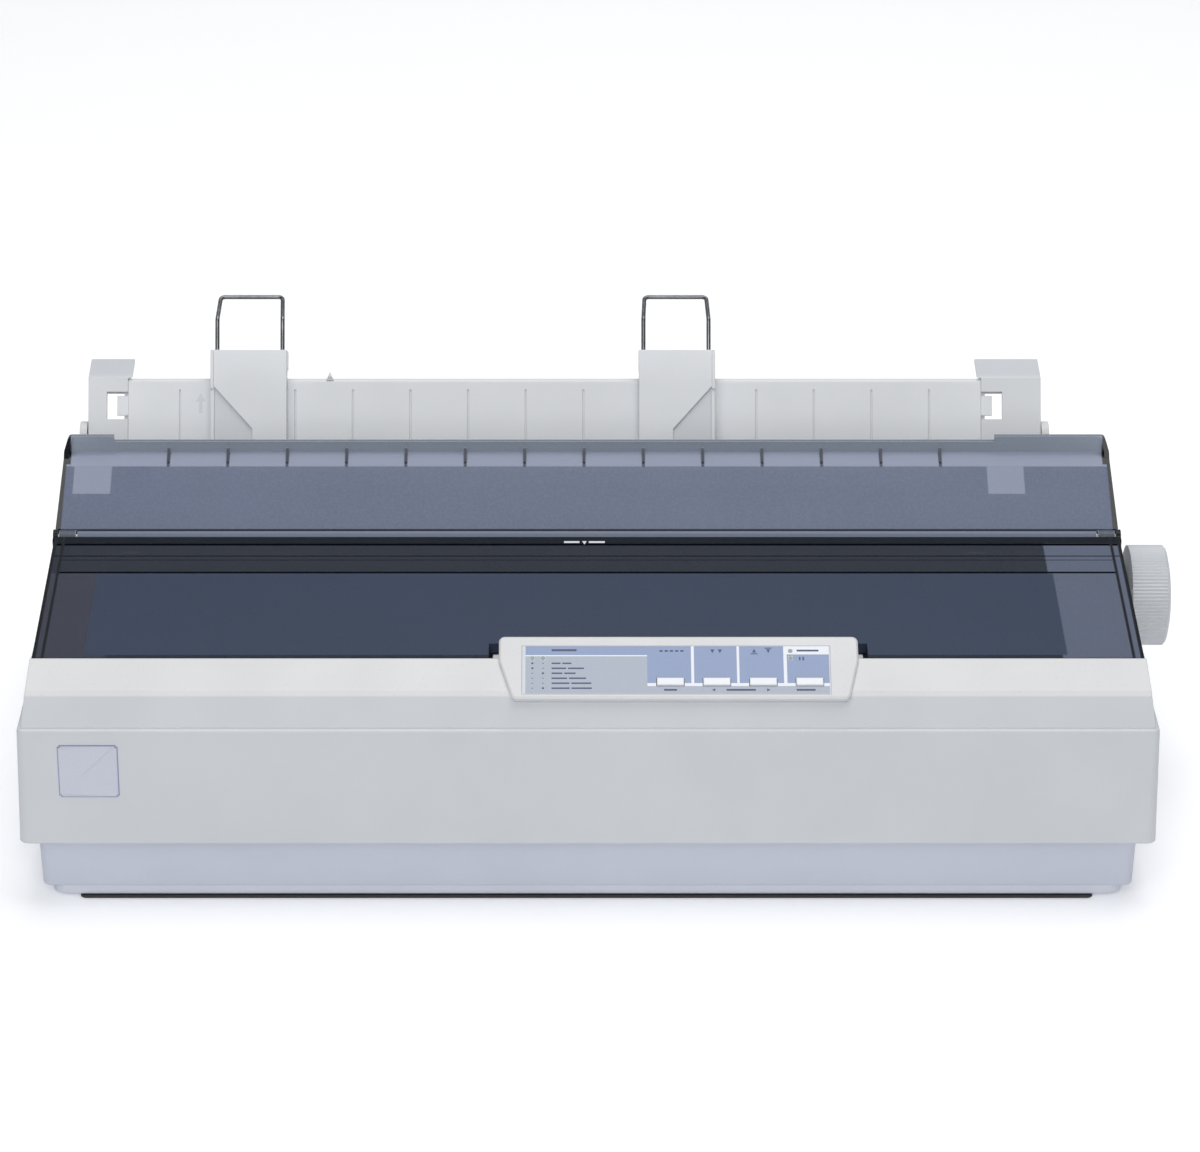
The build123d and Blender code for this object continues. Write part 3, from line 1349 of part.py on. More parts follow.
def power_switch():
    """Body of the power switch in the left wall."""
    out = -half_x - 0.4
    body = block(out, out + 20, switch_y - 6.6, switch_y + 6.6, switch_z - 10.1, switch_z + 10.1)
    body += block(-half_x + wall + 0.9, -half_x + wall + 3.4, switch_y - 9, switch_y + 9,
                  switch_z - 12.5, switch_z + 12.5)
    body -= block(out - 1, out + 8, switch_y - 5.2, switch_y + 5.2, switch_z - 8.6, switch_z + 8.6)
    return body + rod_y(rocker_x, switch_z, 1.0, switch_y - 6, switch_y + 6)


def rod_y(x, z, radius, y0, y1):
    """Round bar along Y."""
    return Pos(x, (y0 + y1) / 2, z) * Rot(90, 0, 0) * Cylinder(radius, y1 - y0)


rocker_x = -half_x + 4.6
rocker_tilt = 9.0


def power_rocker():
    """Rocker of the power switch, at its off position."""
    cap = make_face(Polyline((-4.8, -7.6), (-4.8, 7.6), (-2.8, 8.0), (2.2, 2.4), (2.2, -2.4),
                             (-2.8, -8.0), close=True))
    # outline in (X, Z) about the rocker's pin
    solid = extrude(Plane.XZ * cap, 4.8, both=True)
    solid -= Rot(90, 0, 0) * Cylinder(1.0 + pin_fit, 12)
    return Pos(rocker_x, switch_y, switch_z) * Rot(0, rocker_tilt, 0) * solid


# ---------------------------------------------------------------- all pieces
pieces = {
    "lower_case": lower_case,
    "bottom_plate": bottom_plate,
    "rubber_feet": rubber_feet,
    "upper_case": upper_case,
    "case_screws": case_screws,
    "control_panel": control_panel,
    "panel_overlay": panel_overlay,
    "panel_board": panel_board,
    "indicator_leds": indicator_leds,
    "printer_cover": printer_cover,
    "tear_off_bar": tear_off_bar,
    "rear_cover": rear_cover,
    "hinge_pins": hinge_pins,
    "sheet_guide": sheet_guide,
    "guide_brackets": guide_brackets,
    "left_edge_guide": lambda: edge_guide(left_guide_x, "left"),
    "right_edge_guide": lambda: edge_guide(right_guide_x, "right"),
    "left_wire_support": lambda: wire_support(left_guide_x, "left"),
    "right_wire_support": lambda: wire_support(right_guide_x, "right"),
    "base_frame": base_frame,
    "left_side_frame": left_side_frame,
    "right_side_frame": right_side_frame,
    "platen_roller": platen_roller,
    "platen_shaft": platen_shaft,
    "platen_knob": platen_knob,
    "platen_gear": platen_gear,
    "idler_gear": idler_gear,
    "motor_pinion": motor_pinion,
    "paper_feed_motor": paper_feed_motor,
    "carriage_shaft": carriage_shaft,
    "carriage_bed": carriage_bed,
    "carriage_motor": carriage_motor,
    "drive_pulley": drive_pulley,
    "idler_pulley": idler_pulley,
    "timing_belt": timing_belt,
    "carriage": carriage,
    "print_head": print_head,
    "ribbon_cartridge": ribbon_cartridge,
    "ink_ribbon": ink_ribbon,
    "ribbon_knob": ribbon_knob,
    "paper_guide": paper_guide,
    "pressure_rollers": pressure_rollers,
    "tractor_shaft": tractor_shaft,
    "tractor_gear": tractor_gear,
    "tractor_rail": tractor_rail,
    "left_tractor": lambda: tractor(left_tractor_x, -1),
    "right_tractor": lambda: tractor(right_tractor_x, 1),
    "left_tractor_lid": lambda: tractor_lid(left_tractor_x, -1),
    "right_tractor_lid": lambda: tractor_lid(right_tractor_x, 1),
    "head_gap_lever": head_gap_lever,
    "main_board": main_board,
    "power_supply": power_supply,
    "ac_inlet": ac_inlet,
    "interface_connector": interface_connector,
    "power_switch": power_switch,
    "power_rocker": power_rocker,
}
for number in range(4):
    pieces[f"panel_button_{number + 1}"] = lambda i=number: panel_button(i)

os.makedirs("parts", exist_ok=True)
for name, make in pieces.items():
    export_step(make(), f"parts/{name}.step")
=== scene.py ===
"""Looks of a wide-carriage dot matrix printer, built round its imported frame.

Everything is in metres in the frame's own axes: X right, Y back, Z up.
"""
import math

import bmesh
import bpy
from mathutils import Matrix, Vector


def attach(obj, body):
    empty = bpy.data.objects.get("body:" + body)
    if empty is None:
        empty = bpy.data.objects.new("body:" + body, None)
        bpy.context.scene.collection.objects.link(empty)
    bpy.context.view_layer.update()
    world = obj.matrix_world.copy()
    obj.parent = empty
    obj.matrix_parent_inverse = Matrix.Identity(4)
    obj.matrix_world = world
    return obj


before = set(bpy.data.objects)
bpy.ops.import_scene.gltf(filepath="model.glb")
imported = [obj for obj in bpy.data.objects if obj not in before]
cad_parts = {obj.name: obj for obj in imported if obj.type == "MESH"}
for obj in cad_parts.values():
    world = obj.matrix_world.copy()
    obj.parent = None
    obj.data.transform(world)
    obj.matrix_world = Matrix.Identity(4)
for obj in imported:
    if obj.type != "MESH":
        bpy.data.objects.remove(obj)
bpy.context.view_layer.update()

MM = 0.001


# ------------------------------------------------------------------ places
DECK_FOOT = Vector((0, -0.1258, 0.1121))      # front lower line of the sloping deck
DECK_ANGLE = math.radians(33.6)
PANEL_RISE = 0.002                            # the panel's face above the deck
BUTTONS = [(39.3 + 22.2 * i, 3.8) for i in range(4)]
BUTTON_HALF = (6.5, 2.0)
LAMPS = [(-26.7, 16.9), (-21.6, 16.9), (97.0, 20.8), (97.0, 16.9)]
BAR_CENTRE = Vector((0, 0.0015, 0.1332))      # tear-off bar
COVER_EDGE = Vector((0, 0, 0.135136))          # front cover's top, carried on under the bar
COVER_ANGLE = math.atan(0.1186)
GUIDE_FOOT = Vector((0, 0.1052, 0.1260))      # lower edge of the sheet guide's face
GUIDE_ANGLE = math.radians(62)
WALL_TOP = Vector((0, -0.1375, 0.0967))       # front wall, from its ridge to its rim
WALL_FOOT = Vector((0, -0.1391, 0.0360))
RIDGE = 0.0967                                # top of the ridge round the case
PLINTH_TOP = 0.0070                           # height of the base's lower step
RIB_COUNT, RIB_START, RIB_PITCH = 14, -213.4, 30.3      # ribs along the rear cover's back, mm


def sloped(origin, angle, rise=0.0):
    """Matrix of a sloping face: its X is the frame's X, its Y runs up the slope."""
    up = Vector((0, math.cos(angle), math.sin(angle)))
    out = Vector((0, -math.sin(angle), math.cos(angle)))
    axes = Matrix((Vector((1, 0, 0)), up, out)).transposed().to_4x4()
    return Matrix.Translation(origin + out * rise) @ axes


# ------------------------------------------------------------------ shader tools
def srgb(r, g, b):
    """Linear colour of an 8-bit screen colour."""
    def linear(value):
        value /= 255
        return value / 12.92 if value <= 0.04045 else ((value + 0.055) / 1.055) ** 2.4
    return (linear(r), linear(g), linear(b), 1.0)


def shade(colour, factor):
    """A colour made lighter or darker."""
    return tuple(min(1.0, c * factor) for c in colour[:3]) + (1.0,)


def new_material(name, roughness=0.5, metallic=0.0, coat=0.0):
    """A material with one Principled shader; gives it, its tree and the shader."""
    material = bpy.data.materials.new(name)
    material.use_nodes = True
    tree = material.node_tree
    shader = tree.nodes["Principled BSDF"]
    shader.inputs["Roughness"].default_value = roughness
    shader.inputs["Metallic"].default_value = metallic
    shader.inputs["Coat Weight"].default_value = coat
    return material, tree, shader


def put(tree, value, socket):
    """Links a socket, or sets a plain value."""
    if hasattr(value, "links"):
        tree.links.new(value, socket)
    else:
        socket.default_value = value


def place(tree, scale=(1, 1, 1)):
    """Position on the object in metres, stretched by a scale."""
    coords = tree.nodes.new("ShaderNodeTexCoord")
    mapping = tree.nodes.new("ShaderNodeMapping")
    mapping.inputs["Scale"].default_value = scale
    tree.links.new(coords.outputs["Object"], mapping.inputs["Vector"])
    return mapping.outputs["Vector"]


def axis_of(tree, index):
    """One coordinate of the position: 0 for X, 1 for Y, 2 for Z."""
    split = tree.nodes.new("ShaderNodeSeparateXYZ")
    tree.links.new(place(tree), split.inputs[0])
    return split.outputs[index]


def noise(tree, size, detail=2.0, stretch=(1, 1, 1)):
    """Noise whose blobs are about size metres across."""
    node = tree.nodes.new("ShaderNodeTexNoise")
    node.inputs["Scale"].default_value = 1 / size
    node.inputs["Detail"].default_value = detail
    tree.links.new(place(tree, stretch), node.inputs["Vector"])
    return node.outputs[0]


def maths(tree, operation, a, b=0.0):
    """Result of a sum on two sockets or numbers."""
    node = tree.nodes.new("ShaderNodeMath")
    node.operation = operation
    put(tree, a, node.inputs[0])
    put(tree, b, node.inputs[1])
    return node.outputs[0]


def ramp(tree, value, low, high, out_low=0.0, out_high=1.0):
    """Smooth step of a value between two limits."""
    node = tree.nodes.new("ShaderNodeMapRange")
    node.interpolation_type = "SMOOTHSTEP"
    put(tree, value, node.inputs["Value"])
    for key, number in (("From Min", low), ("From Max", high),
                        ("To Min", out_low), ("To Max", out_high)):
        node.inputs[key].default_value = number
    return node.outputs[0]


def mixed(tree, factor, a, b):
    """Colour between a and b."""
    node = tree.nodes.new("ShaderNodeMix")
    node.data_type = "RGBA"
    put(tree, factor, node.inputs[0])
    put(tree, a, node.inputs[6])
    put(tree, b, node.inputs[7])
    return node.outputs[2]


def between(tree, factor, a, b):
    """Number between a and b; either may be a socket."""
    node = tree.nodes.new("ShaderNodeMix")
    node.data_type = "FLOAT"
    put(tree, factor, node.inputs[0])
    put(tree, a, node.inputs[2])
    put(tree, b, node.inputs[3])
    return node.outputs[0]


def rounded(tree, radius):
    """Normal that rounds the model's sharp edges."""
    node = tree.nodes.new("ShaderNodeBevel")
    node.samples = 4
    node.inputs["Radius"].default_value = radius
    return node.outputs[0]


def edges(tree, radius):
    """1 on sharp edges, 0 on flat places."""
    geometry = tree.nodes.new("ShaderNodeNewGeometry")
    dot = tree.nodes.new("ShaderNodeVectorMath")
    dot.operation = "DOT_PRODUCT"
    tree.links.new(rounded(tree, radius), dot.inputs[0])
    tree.links.new(geometry.outputs["Normal"], dot.inputs[1])
    return ramp(tree, dot.outputs["Value"], 0.98, 0.82)


def bumped(tree, shader, height, depth, edge=0.0):
    """Gives the shader a relief, over rounded edges if edge is a radius."""
    node = tree.nodes.new("ShaderNodeBump")
    node.inputs["Distance"].default_value = depth
    node.inputs["Strength"].default_value = 1.0
    tree.links.new(height, node.inputs["Height"])
    if edge:
        tree.links.new(rounded(tree, edge), node.inputs["Normal"])
    tree.links.new(node.outputs[0], shader.inputs["Normal"])


# ------------------------------------------------------------------ materials
def along(tree, origin, angle):
    """How far up a leaning face and how far out of it a place is, in metres."""
    y = maths(tree, "SUBTRACT", axis_of(tree, 1), origin.y)
    z = maths(tree, "SUBTRACT", axis_of(tree, 2), origin.z)
    cosine, sine = math.cos(angle), math.sin(angle)
    up = maths(tree, "ADD", maths(tree, "MULTIPLY", y, cosine), maths(tree, "MULTIPLY", z, sine))
    out = maths(tree, "SUBTRACT", maths(tree, "MULTIPLY", z, cosine),
                maths(tree, "MULTIPLY", y, sine))
    return up, out


def moulded(name, colour, roughness=0.48, grain=0.0007, depth=0.00003, edge=0.0007,
            edge_wear_and_sheen=1.08, levels=(), dark=None, slants=()):
    """Moulded plastic: fine spark-eroded grain, faint flow clouds, edges lighter partly from wear
    and partly as a painted highlight.

    levels are (least height, most height, colour) in metres; dark gives the colour of
    two blocks: (least |X|, most |X|, least height, most Y, colour); slants are colours
    of places on the sheet guide: (least and most up its face, least and most out of it,
    colour) in metres.
    """
    material, tree, shader = new_material(name, roughness)
    clouds = ramp(tree, noise(tree, 0.06, 3.0), 0.3, 0.7)
    body = mixed(tree, clouds, shade(colour, 0.975), shade(colour, 1.015))
    for least, most, other in levels:
        height = axis_of(tree, 2)
        inside = maths(tree, "MULTIPLY", ramp(tree, height, least - 0.0006, least + 0.0006),
                       ramp(tree, height, most + 0.0006, most - 0.0006))
        body = mixed(tree, inside, body, mixed(tree, clouds, shade(other, 0.975),
                                               shade(other, 1.015)))
    if dark:
        near, far, least, back, other = dark
        across = maths(tree, "ABSOLUTE", axis_of(tree, 0))
        block = maths(tree, "MULTIPLY", ramp(tree, across, near, near + 0.0003),
                      ramp(tree, across, far + 0.0003, far))
        for low in (ramp(tree, axis_of(tree, 2), least, least + 0.0003),
                    ramp(tree, axis_of(tree, 1), back + 0.0003, back)):
            block = maths(tree, "MULTIPLY", block, low)
        body = mixed(tree, block, body, other)
    if slants:
        up, out = along(tree, GUIDE_FOOT, GUIDE_ANGLE)
    for low, high, near, far, other in slants:
        patch = maths(tree, "MULTIPLY", ramp(tree, up, low, low + 0.0002),
                      ramp(tree, up, high + 0.0002, high))
        for side in (ramp(tree, out, near, near + 0.0001), ramp(tree, out, far + 0.0001, far)):
            patch = maths(tree, "MULTIPLY", patch, side)
        body = mixed(tree, patch, body, other)
    specks = ramp(tree, noise(tree, 0.0011, 1.0), 0.62, 0.8, 0.0, 0.35)
    body = mixed(tree, specks, body, shade(colour, 0.93))
    # edges lighter: partly wear, partly a painted highlight
    worn_and_highlit = mixed(tree, edges(tree, edge), body, shade(colour, edge_wear_and_sheen))
    tree.links.new(worn_and_highlit, shader.inputs["Base Color"])
    gloss = ramp(tree, noise(tree, 0.025, 2.0), 0.25, 0.75, roughness - 0.05, roughness + 0.06)
    tree.links.new(gloss, shader.inputs["Roughness"])
    bumped(tree, shader, noise(tree, grain, 2.0), depth, edge)
    return material


def area_mask(tree, x, y, area, soft=0.0004):
    """1 inside an area (x0, x1, y0, y1) in millimetres, 0 outside."""
    x0, x1, y0, y1 = (value * MM for value in area)
    mask = ramp(tree, x, x0 - soft, x0 + soft)
    for side in (ramp(tree, x, x1 + soft, x1 - soft), ramp(tree, y, y0 - soft, y0 + soft),
                 ramp(tree, y, y1 + soft, y1 - soft)):
        mask = maths(tree, "MULTIPLY", mask, side)
    return mask


def smoke(name, colour, alpha, roughness, zones):
    """Smoke-tinted plastic: polished, with zones laid over it: textured, thicker, painted shade
    and painted reflection.

    Each zone has its areas (x0, x1, y0, y1) in millimetres, colour, alpha, roughness,
    share of sparkle and shine.
    """
    material, tree, shader = new_material(name)
    x, y = axis_of(tree, 0), axis_of(tree, 1)
    sparkle = ramp(tree, noise(tree, 0.0013, 2.0), 0.35, 0.7)
    clouds = maths(tree, "MULTIPLY", ramp(tree, noise(tree, 0.05, 3.0), 0.3, 0.7), 0.2)
    body, grain, shine = colour, 0.0, 0.35
    for areas, zone_colour, zone_alpha, zone_roughness, zone_grain, zone_shine in zones:
        mask = area_mask(tree, x, y, areas[0])
        for area in areas[1:]:
            mask = maths(tree, "MAXIMUM", mask, area_mask(tree, x, y, area))
        spread = 0.17 * zone_grain
        face = mixed(tree, sparkle, shade(zone_colour, 1 - spread), shade(zone_colour, 1 + spread))
        face = mixed(tree, clouds, face, shade(zone_colour, 1.2))
        body = mixed(tree, mask, body, face)
        alpha = between(tree, mask, alpha, zone_alpha)
        roughness = between(tree, mask, roughness, zone_roughness)
        grain = between(tree, mask, grain, zone_grain)
        shine = between(tree, mask, shine, zone_shine)
    tree.links.new(body, shader.inputs["Base Color"])
    tree.links.new(alpha, shader.inputs["Alpha"])
    tree.links.new(roughness, shader.inputs["Roughness"])
    tree.links.new(shine, shader.inputs["Specular IOR Level"])
    bumped(tree, shader, maths(tree, "MULTIPLY", noise(tree, 0.0009, 2.0), grain), 0.00006)
    return material


def tinted(name, colour, highlight_colour, height, alpha, roughness=0.2):
    """Smoke plastic bar with moulding lines, paler over a height as a painted highlight, but for
    its back, left dark as painted shade.
    """
    material, tree, shader = new_material(name, roughness)
    shader.inputs["Specular IOR Level"].default_value = 0.2
    # painted highlight: paler above a height and in front; the back stays dark as painted shade
    highlight_height = ramp(tree, axis_of(tree, 2), height - 0.0009, height + 0.0005)
    front = ramp(tree, axis_of(tree, 1), 0.0010, 0.0006)
    highlighted_body = mixed(tree, maths(tree, "MULTIPLY", highlight_height, front), colour, highlight_colour)
    tree.links.new(highlighted_body, shader.inputs["Base Color"])
    shader.inputs["Alpha"].default_value = alpha
    lines = noise(tree, 0.0012, 2.0, (0.02, 1, 1))
    gloss = ramp(tree, noise(tree, 0.012, 3.0), 0.3, 0.7, roughness, roughness + 0.1)
    tree.links.new(gloss, shader.inputs["Roughness"])
    bumped(tree, shader, lines, 0.00001)
    return material


def sheet_metal(name, colour, roughness=0.38, stretch=(0.05, 1, 1), spangle=0.012):
    """Plated or painted sheet: rolling marks, spangle and lighter sharp edges."""
    material, tree, shader = new_material(name, roughness, metallic=1.0)
    tone = ramp(tree, noise(tree, spangle, 2.0), 0.35, 0.65)
    body = mixed(tree, tone, shade(colour, 0.86), shade(colour, 1.08))
    body = mixed(tree, edges(tree, 0.0003), body, shade(colour, 1.3))
    tree.links.new(body, shader.inputs["Base Color"])
    gloss = ramp(tree, noise(tree, 0.004, 2.0, stretch), 0.3, 0.7, roughness - 0.1,
                 roughness + 0.14)
    tree.links.new(gloss, shader.inputs["Roughness"])
    bumped(tree, shader, noise(tree, 0.0006, 2.0, stretch), 0.00001, 0.0003)
    return material


def rubber(name, colour, roughness=0.62, stretch=(1, 1, 1)):
    """Matt rubber with fine pores and a dusty bloom."""
    material, tree, shader = new_material(name, roughness)
    bloom = ramp(tree, noise(tree, 0.015, 4.0, stretch), 0.4, 0.75)
    tree.links.new(mixed(tree, bloom, colour, shade(colour, 1.7)), shader.inputs["Base Color"])
    bumped(tree, shader, noise(tree, 0.0004, 3.0, stretch), 0.00004, 0.0004)
    return material


def woven(name, colour, thread):
    """Inked fabric: crossed threads."""
    material, tree, shader = new_material(name, 0.7)
    weave = []
    for axis in ("X", "Z"):
        wave = tree.nodes.new("ShaderNodeTexWave")
        wave.bands_direction = axis
        wave.inputs["Scale"].default_value = 0.3 / thread
        wave.inputs["Distortion"].default_value = 0.4
        tree.links.new(place(tree), wave.inputs["Vector"])
        weave.append(wave.outputs["Fac"])
    threads = maths(tree, "MAXIMUM", *weave)
    tree.links.new(mixed(tree, threads, shade(colour, 0.5), shade(colour, 1.6)),
                   shader.inputs["Base Color"])
    bumped(tree, shader, threads, thread / 3)
    return material


def board(name, mask_colour, copper):
    """Circuit board: solder mask over tracks, with pads."""
    material, tree, shader = new_material(name, 0.3)
    brick = tree.nodes.new("ShaderNodeTexBrick")
    brick.inputs["Scale"].default_value = 1.0
    brick.inputs["Brick Width"].default_value = 0.014
    brick.inputs["Row Height"].default_value = 0.0021
    brick.inputs["Mortar Size"].default_value = 0.0004
    brick.inputs["Color1"].default_value = mask_colour
    brick.inputs["Color2"].default_value = shade(mask_colour, 0.8)
    brick.inputs["Mortar"].default_value = shade(mask_colour, 1.5)
    tree.links.new(place(tree), brick.inputs["Vector"])
    cells = tree.nodes.new("ShaderNodeTexVoronoi")
    cells.inputs["Scale"].default_value = 1 / 0.0042
    tree.links.new(place(tree), cells.inputs["Vector"])
    pads = ramp(tree, cells.outputs["Distance"], 0.2, 0.16)
    tree.links.new(mixed(tree, pads, brick.outputs["Color"], copper), shader.inputs["Base Color"])
    bumped(tree, shader, brick.outputs["Fac"], 0.00003)
    return material


def lens(name, colour):
    """Small coloured lamp lens with a moulded pip."""
    material, tree, shader = new_material(name, 0.2, coat=0.5)
    glow = ramp(tree, noise(tree, 0.001, 1.0), 0.3, 0.7)
    tree.links.new(mixed(tree, glow, shade(colour, 0.8), shade(colour, 1.25)),
                   shader.inputs["Base Color"])
    return material


def film(name, colour, roughness=0.35, glow=0.0):
    """Printed film or ink: fine screen texture on a satin face."""
    material, tree, shader = new_material(name, roughness)
    if glow:
        shader.inputs["Emission Color"].default_value = colour
        shader.inputs["Emission Strength"].default_value = glow
    tone = ramp(tree, noise(tree, 0.0006, 2.0), 0.3, 0.7)
    tree.links.new(mixed(tree, tone, shade(colour, 0.97), shade(colour, 1.03)),
                   shader.inputs["Base Color"])
    bumped(tree, shader, noise(tree, 0.0004, 2.0), 0.000008)
    return material


# Case walls darker and bluer and everything from 110 mm up paler, as painted light; the pale line
# on the ridge is a painted highlight.
CASE = moulded("case_plastic", srgb(196, 199, 203), dark=(0.2545, 0.268, 0.1225, 0.013,
                                                           srgb(74, 80, 92)),
               levels=[(0.1100, 1.0, srgb(215, 215, 216)),
                       (RIDGE - 0.0001, RIDGE + 0.0005, srgb(222, 225, 230))])
# Base: the lower step painted paler, as painted light against the shade under the overhang.
BASE = moulded("base_plastic", srgb(192, 196, 209), roughness=0.52,
               levels=[(-1.0, PLINTH_TOP, srgb(204, 208, 219))])
# Sheet guide: set paler than the case as painted light; its top rim painted darker in two steps as
# shade.
GUIDE = moulded("guide_plastic", srgb(231, 233, 236), grain=0.0005,
                slants=[(0.0431, 0.0460, -0.0040, 0.0030, srgb(216, 217, 218)),
                        (0.0446, 0.0460, -0.0040, 0.0030, srgb(196, 197, 198))])
# Edge guides: a face 6.6 to 7 mm out of the guide's slope, up to 40.2 mm, painted darker as shade.
EDGE_GUIDE = moulded("edge_guide_plastic", srgb(231, 233, 236), grain=0.0005,
                     slants=[(-0.0050, 0.0402, 0.0066, 0.0070, srgb(217, 220, 224))])
# Brackets: their tops, above 166.2 mm, painted darker as shade.
BRACKET = moulded("bracket_plastic", srgb(222, 224, 227), grain=0.0005,
                  levels=[(0.1662, 1.0, srgb(198, 201, 206))])
KNOB = moulded("knob_plastic", srgb(197, 200, 204), roughness=0.42, edge=0.0004)
BUTTON = moulded("button_plastic", srgb(232, 234, 238), roughness=0.35, edge=0.0004)
BLACK = moulded("black_plastic", srgb(34, 35, 38), roughness=0.42, depth=0.00004,
                edge_wear_and_sheen=1.8)
DARK = moulded("dark_plastic", srgb(52, 55, 61), roughness=0.45, edge_wear_and_sheen=1.6)
LEVER = moulded("lever_plastic", srgb(60, 102, 132), roughness=0.35, edge_wear_and_sheen=1.3)
NYLON = moulded("gear_nylon", srgb(214, 212, 200), roughness=0.34, depth=0.00001, edge=0.0002)
RIBBON_KNOB = moulded("ribbon_knob_plastic", srgb(84, 92, 104), roughness=0.4)
EDGE_SMOKE = srgb(8, 11, 18)
FRONT_SMOKE = smoke("front_cover_smoke", srgb(24, 34, 50), 0.88, 0.12, [
    # the two side margins; the right one's paler tone is a painted reflection
    ([(-265.5, -232, -150, -36)], srgb(54, 58, 72), 0.88, 0.14, 0.2, 0.35),
    ([(228, 265.5, -150, -6)], srgb(92, 101, 122), 0.88, 0.14, 0.2, 0.35),
    ([(-242.3, 230.4, -107.9, -36.2)], srgb(42, 56, 80), 0.93, 0.46, 0.5, 0.35),
    # the last of these lines, by the tear-off bar, is painted shade in the gap
    ([(-300, 300, -20.6, -19.8), (-262.5, 262.5, -24.1, -23.6), (-262.5, 262.5, -36.0, -34.4),
      (-300, 300, -10.6, -8.4)], EDGE_SMOKE, 0.97, 0.2, 0.0, 0.0),
    # strip under the tear-off bar darkened: painted shade
    ([(-300, 300, -8.4, 6)], srgb(22, 27, 36), 0.97, 0.2, 0.0, 0.08),
    ([(-300, -265.3, -150, 60), (265.3, 300, -150, 60), (-262.8, -261.4, -150, 60),
      (261.4, 262.8, -150, 60)], EDGE_SMOKE, 0.97, 0.12, 0.0, 0.2),
])
RIB_LINES = [(RIB_START + i * RIB_PITCH - 0.8, RIB_START + i * RIB_PITCH + 0.8, 44.6, 52.9)
             for i in range(RIB_COUNT)]
REAR_SMOKE = smoke("rear_cover_smoke", srgb(138, 146, 168), 0.88, 0.16, [
    ([(-300, 300, 0, 44.9)], srgb(95, 105, 129), 0.93, 0.46, 0.4, 0.35),
    ([(-261, -242, 29.5, 45.2), (204, 222.6, 29.5, 45.2)], srgb(130, 138, 160), 0.88, 0.16, 0.1,
     0.35),
    (RIB_LINES, srgb(50, 56, 70), 0.95, 0.3, 0.0, 0.35),
    ([(-300, 300, 53.0, 60)], srgb(156, 165, 176), 0.97, 0.25, 0.2, 0.35),
    ([(-300, 300, 54.0, 55.0)], srgb(60, 66, 78), 0.97, 0.2, 0.0, 0.35),
    ([(-300, -265.3, 0, 60), (265.3, 300, 0, 60), (-300, -263.2, 46, 60), (263.2, 300, 46, 60)],
     EDGE_SMOKE, 0.97, 0.12, 0.0, 0.35),
])
# Tear-off bar: paler top front as a painted highlight, the dark back as painted shade in the gap.
BAR_SMOKE = tinted("bar_smoke", srgb(6, 9, 14), srgb(112, 120, 138), BAR_CENTRE.z + 0.0004, 0.97)
ZINC = sheet_metal("zinc_sheet", srgb(168, 170, 172))
STEEL = sheet_metal("ground_steel", srgb(186, 187, 190), 0.22, (0.02, 1, 1))
WIRE = sheet_metal("plated_wire", srgb(120, 121, 124), 0.2, (1, 1, 0.05))
BLACK_SHEET = sheet_metal("black_sheet", srgb(40, 44, 52), 0.45)
MOTOR = sheet_metal("motor_can", srgb(58, 59, 62), 0.4, (1, 1, 0.05))
CONNECTOR = sheet_metal("connector_shell", srgb(176, 174, 166), 0.3)
BRASS = sheet_metal("brass", srgb(196, 164, 92), 0.28, (0.05, 1, 1))
HEAD = sheet_metal("head_casting", srgb(72, 73, 76), 0.5, (1, 1, 1), 0.002)
PLATEN = rubber("platen_rubber", srgb(44, 45, 47), 0.5, (0.3, 1, 1))
RUBBER = rubber("black_rubber", srgb(30, 30, 31))
RIBBON = woven("inked_ribbon", srgb(26, 26, 34), 0.00035)
GREEN_BOARD = board("green_board", srgb(28, 92, 58), srgb(190, 176, 130))
LAMP = lens("lamp_lens", srgb(120, 140, 124))
FILM = film("panel_film", srgb(205, 208, 214))
INK_BLUE = film("ink_blue", srgb(136, 152, 186))
INK_GREY = film("ink_grey", srgb(165, 173, 187))
INK_WHITE = film("ink_white", srgb(228, 231, 237))
INK_DARK = film("ink_dark", srgb(58, 66, 100))
BADGE = film("badge_film", srgb(190, 193, 205), 0.3)
BADGE_RIM = film("badge_rim", srgb(140, 148, 178), 0.3)
MARK = film("mark_white", srgb(214, 218, 224))
FAINT = film("mark_faint", srgb(214, 217, 220))
FLOOR = film("pale_floor", srgb(252, 253, 255), 0.6, glow=0.2)

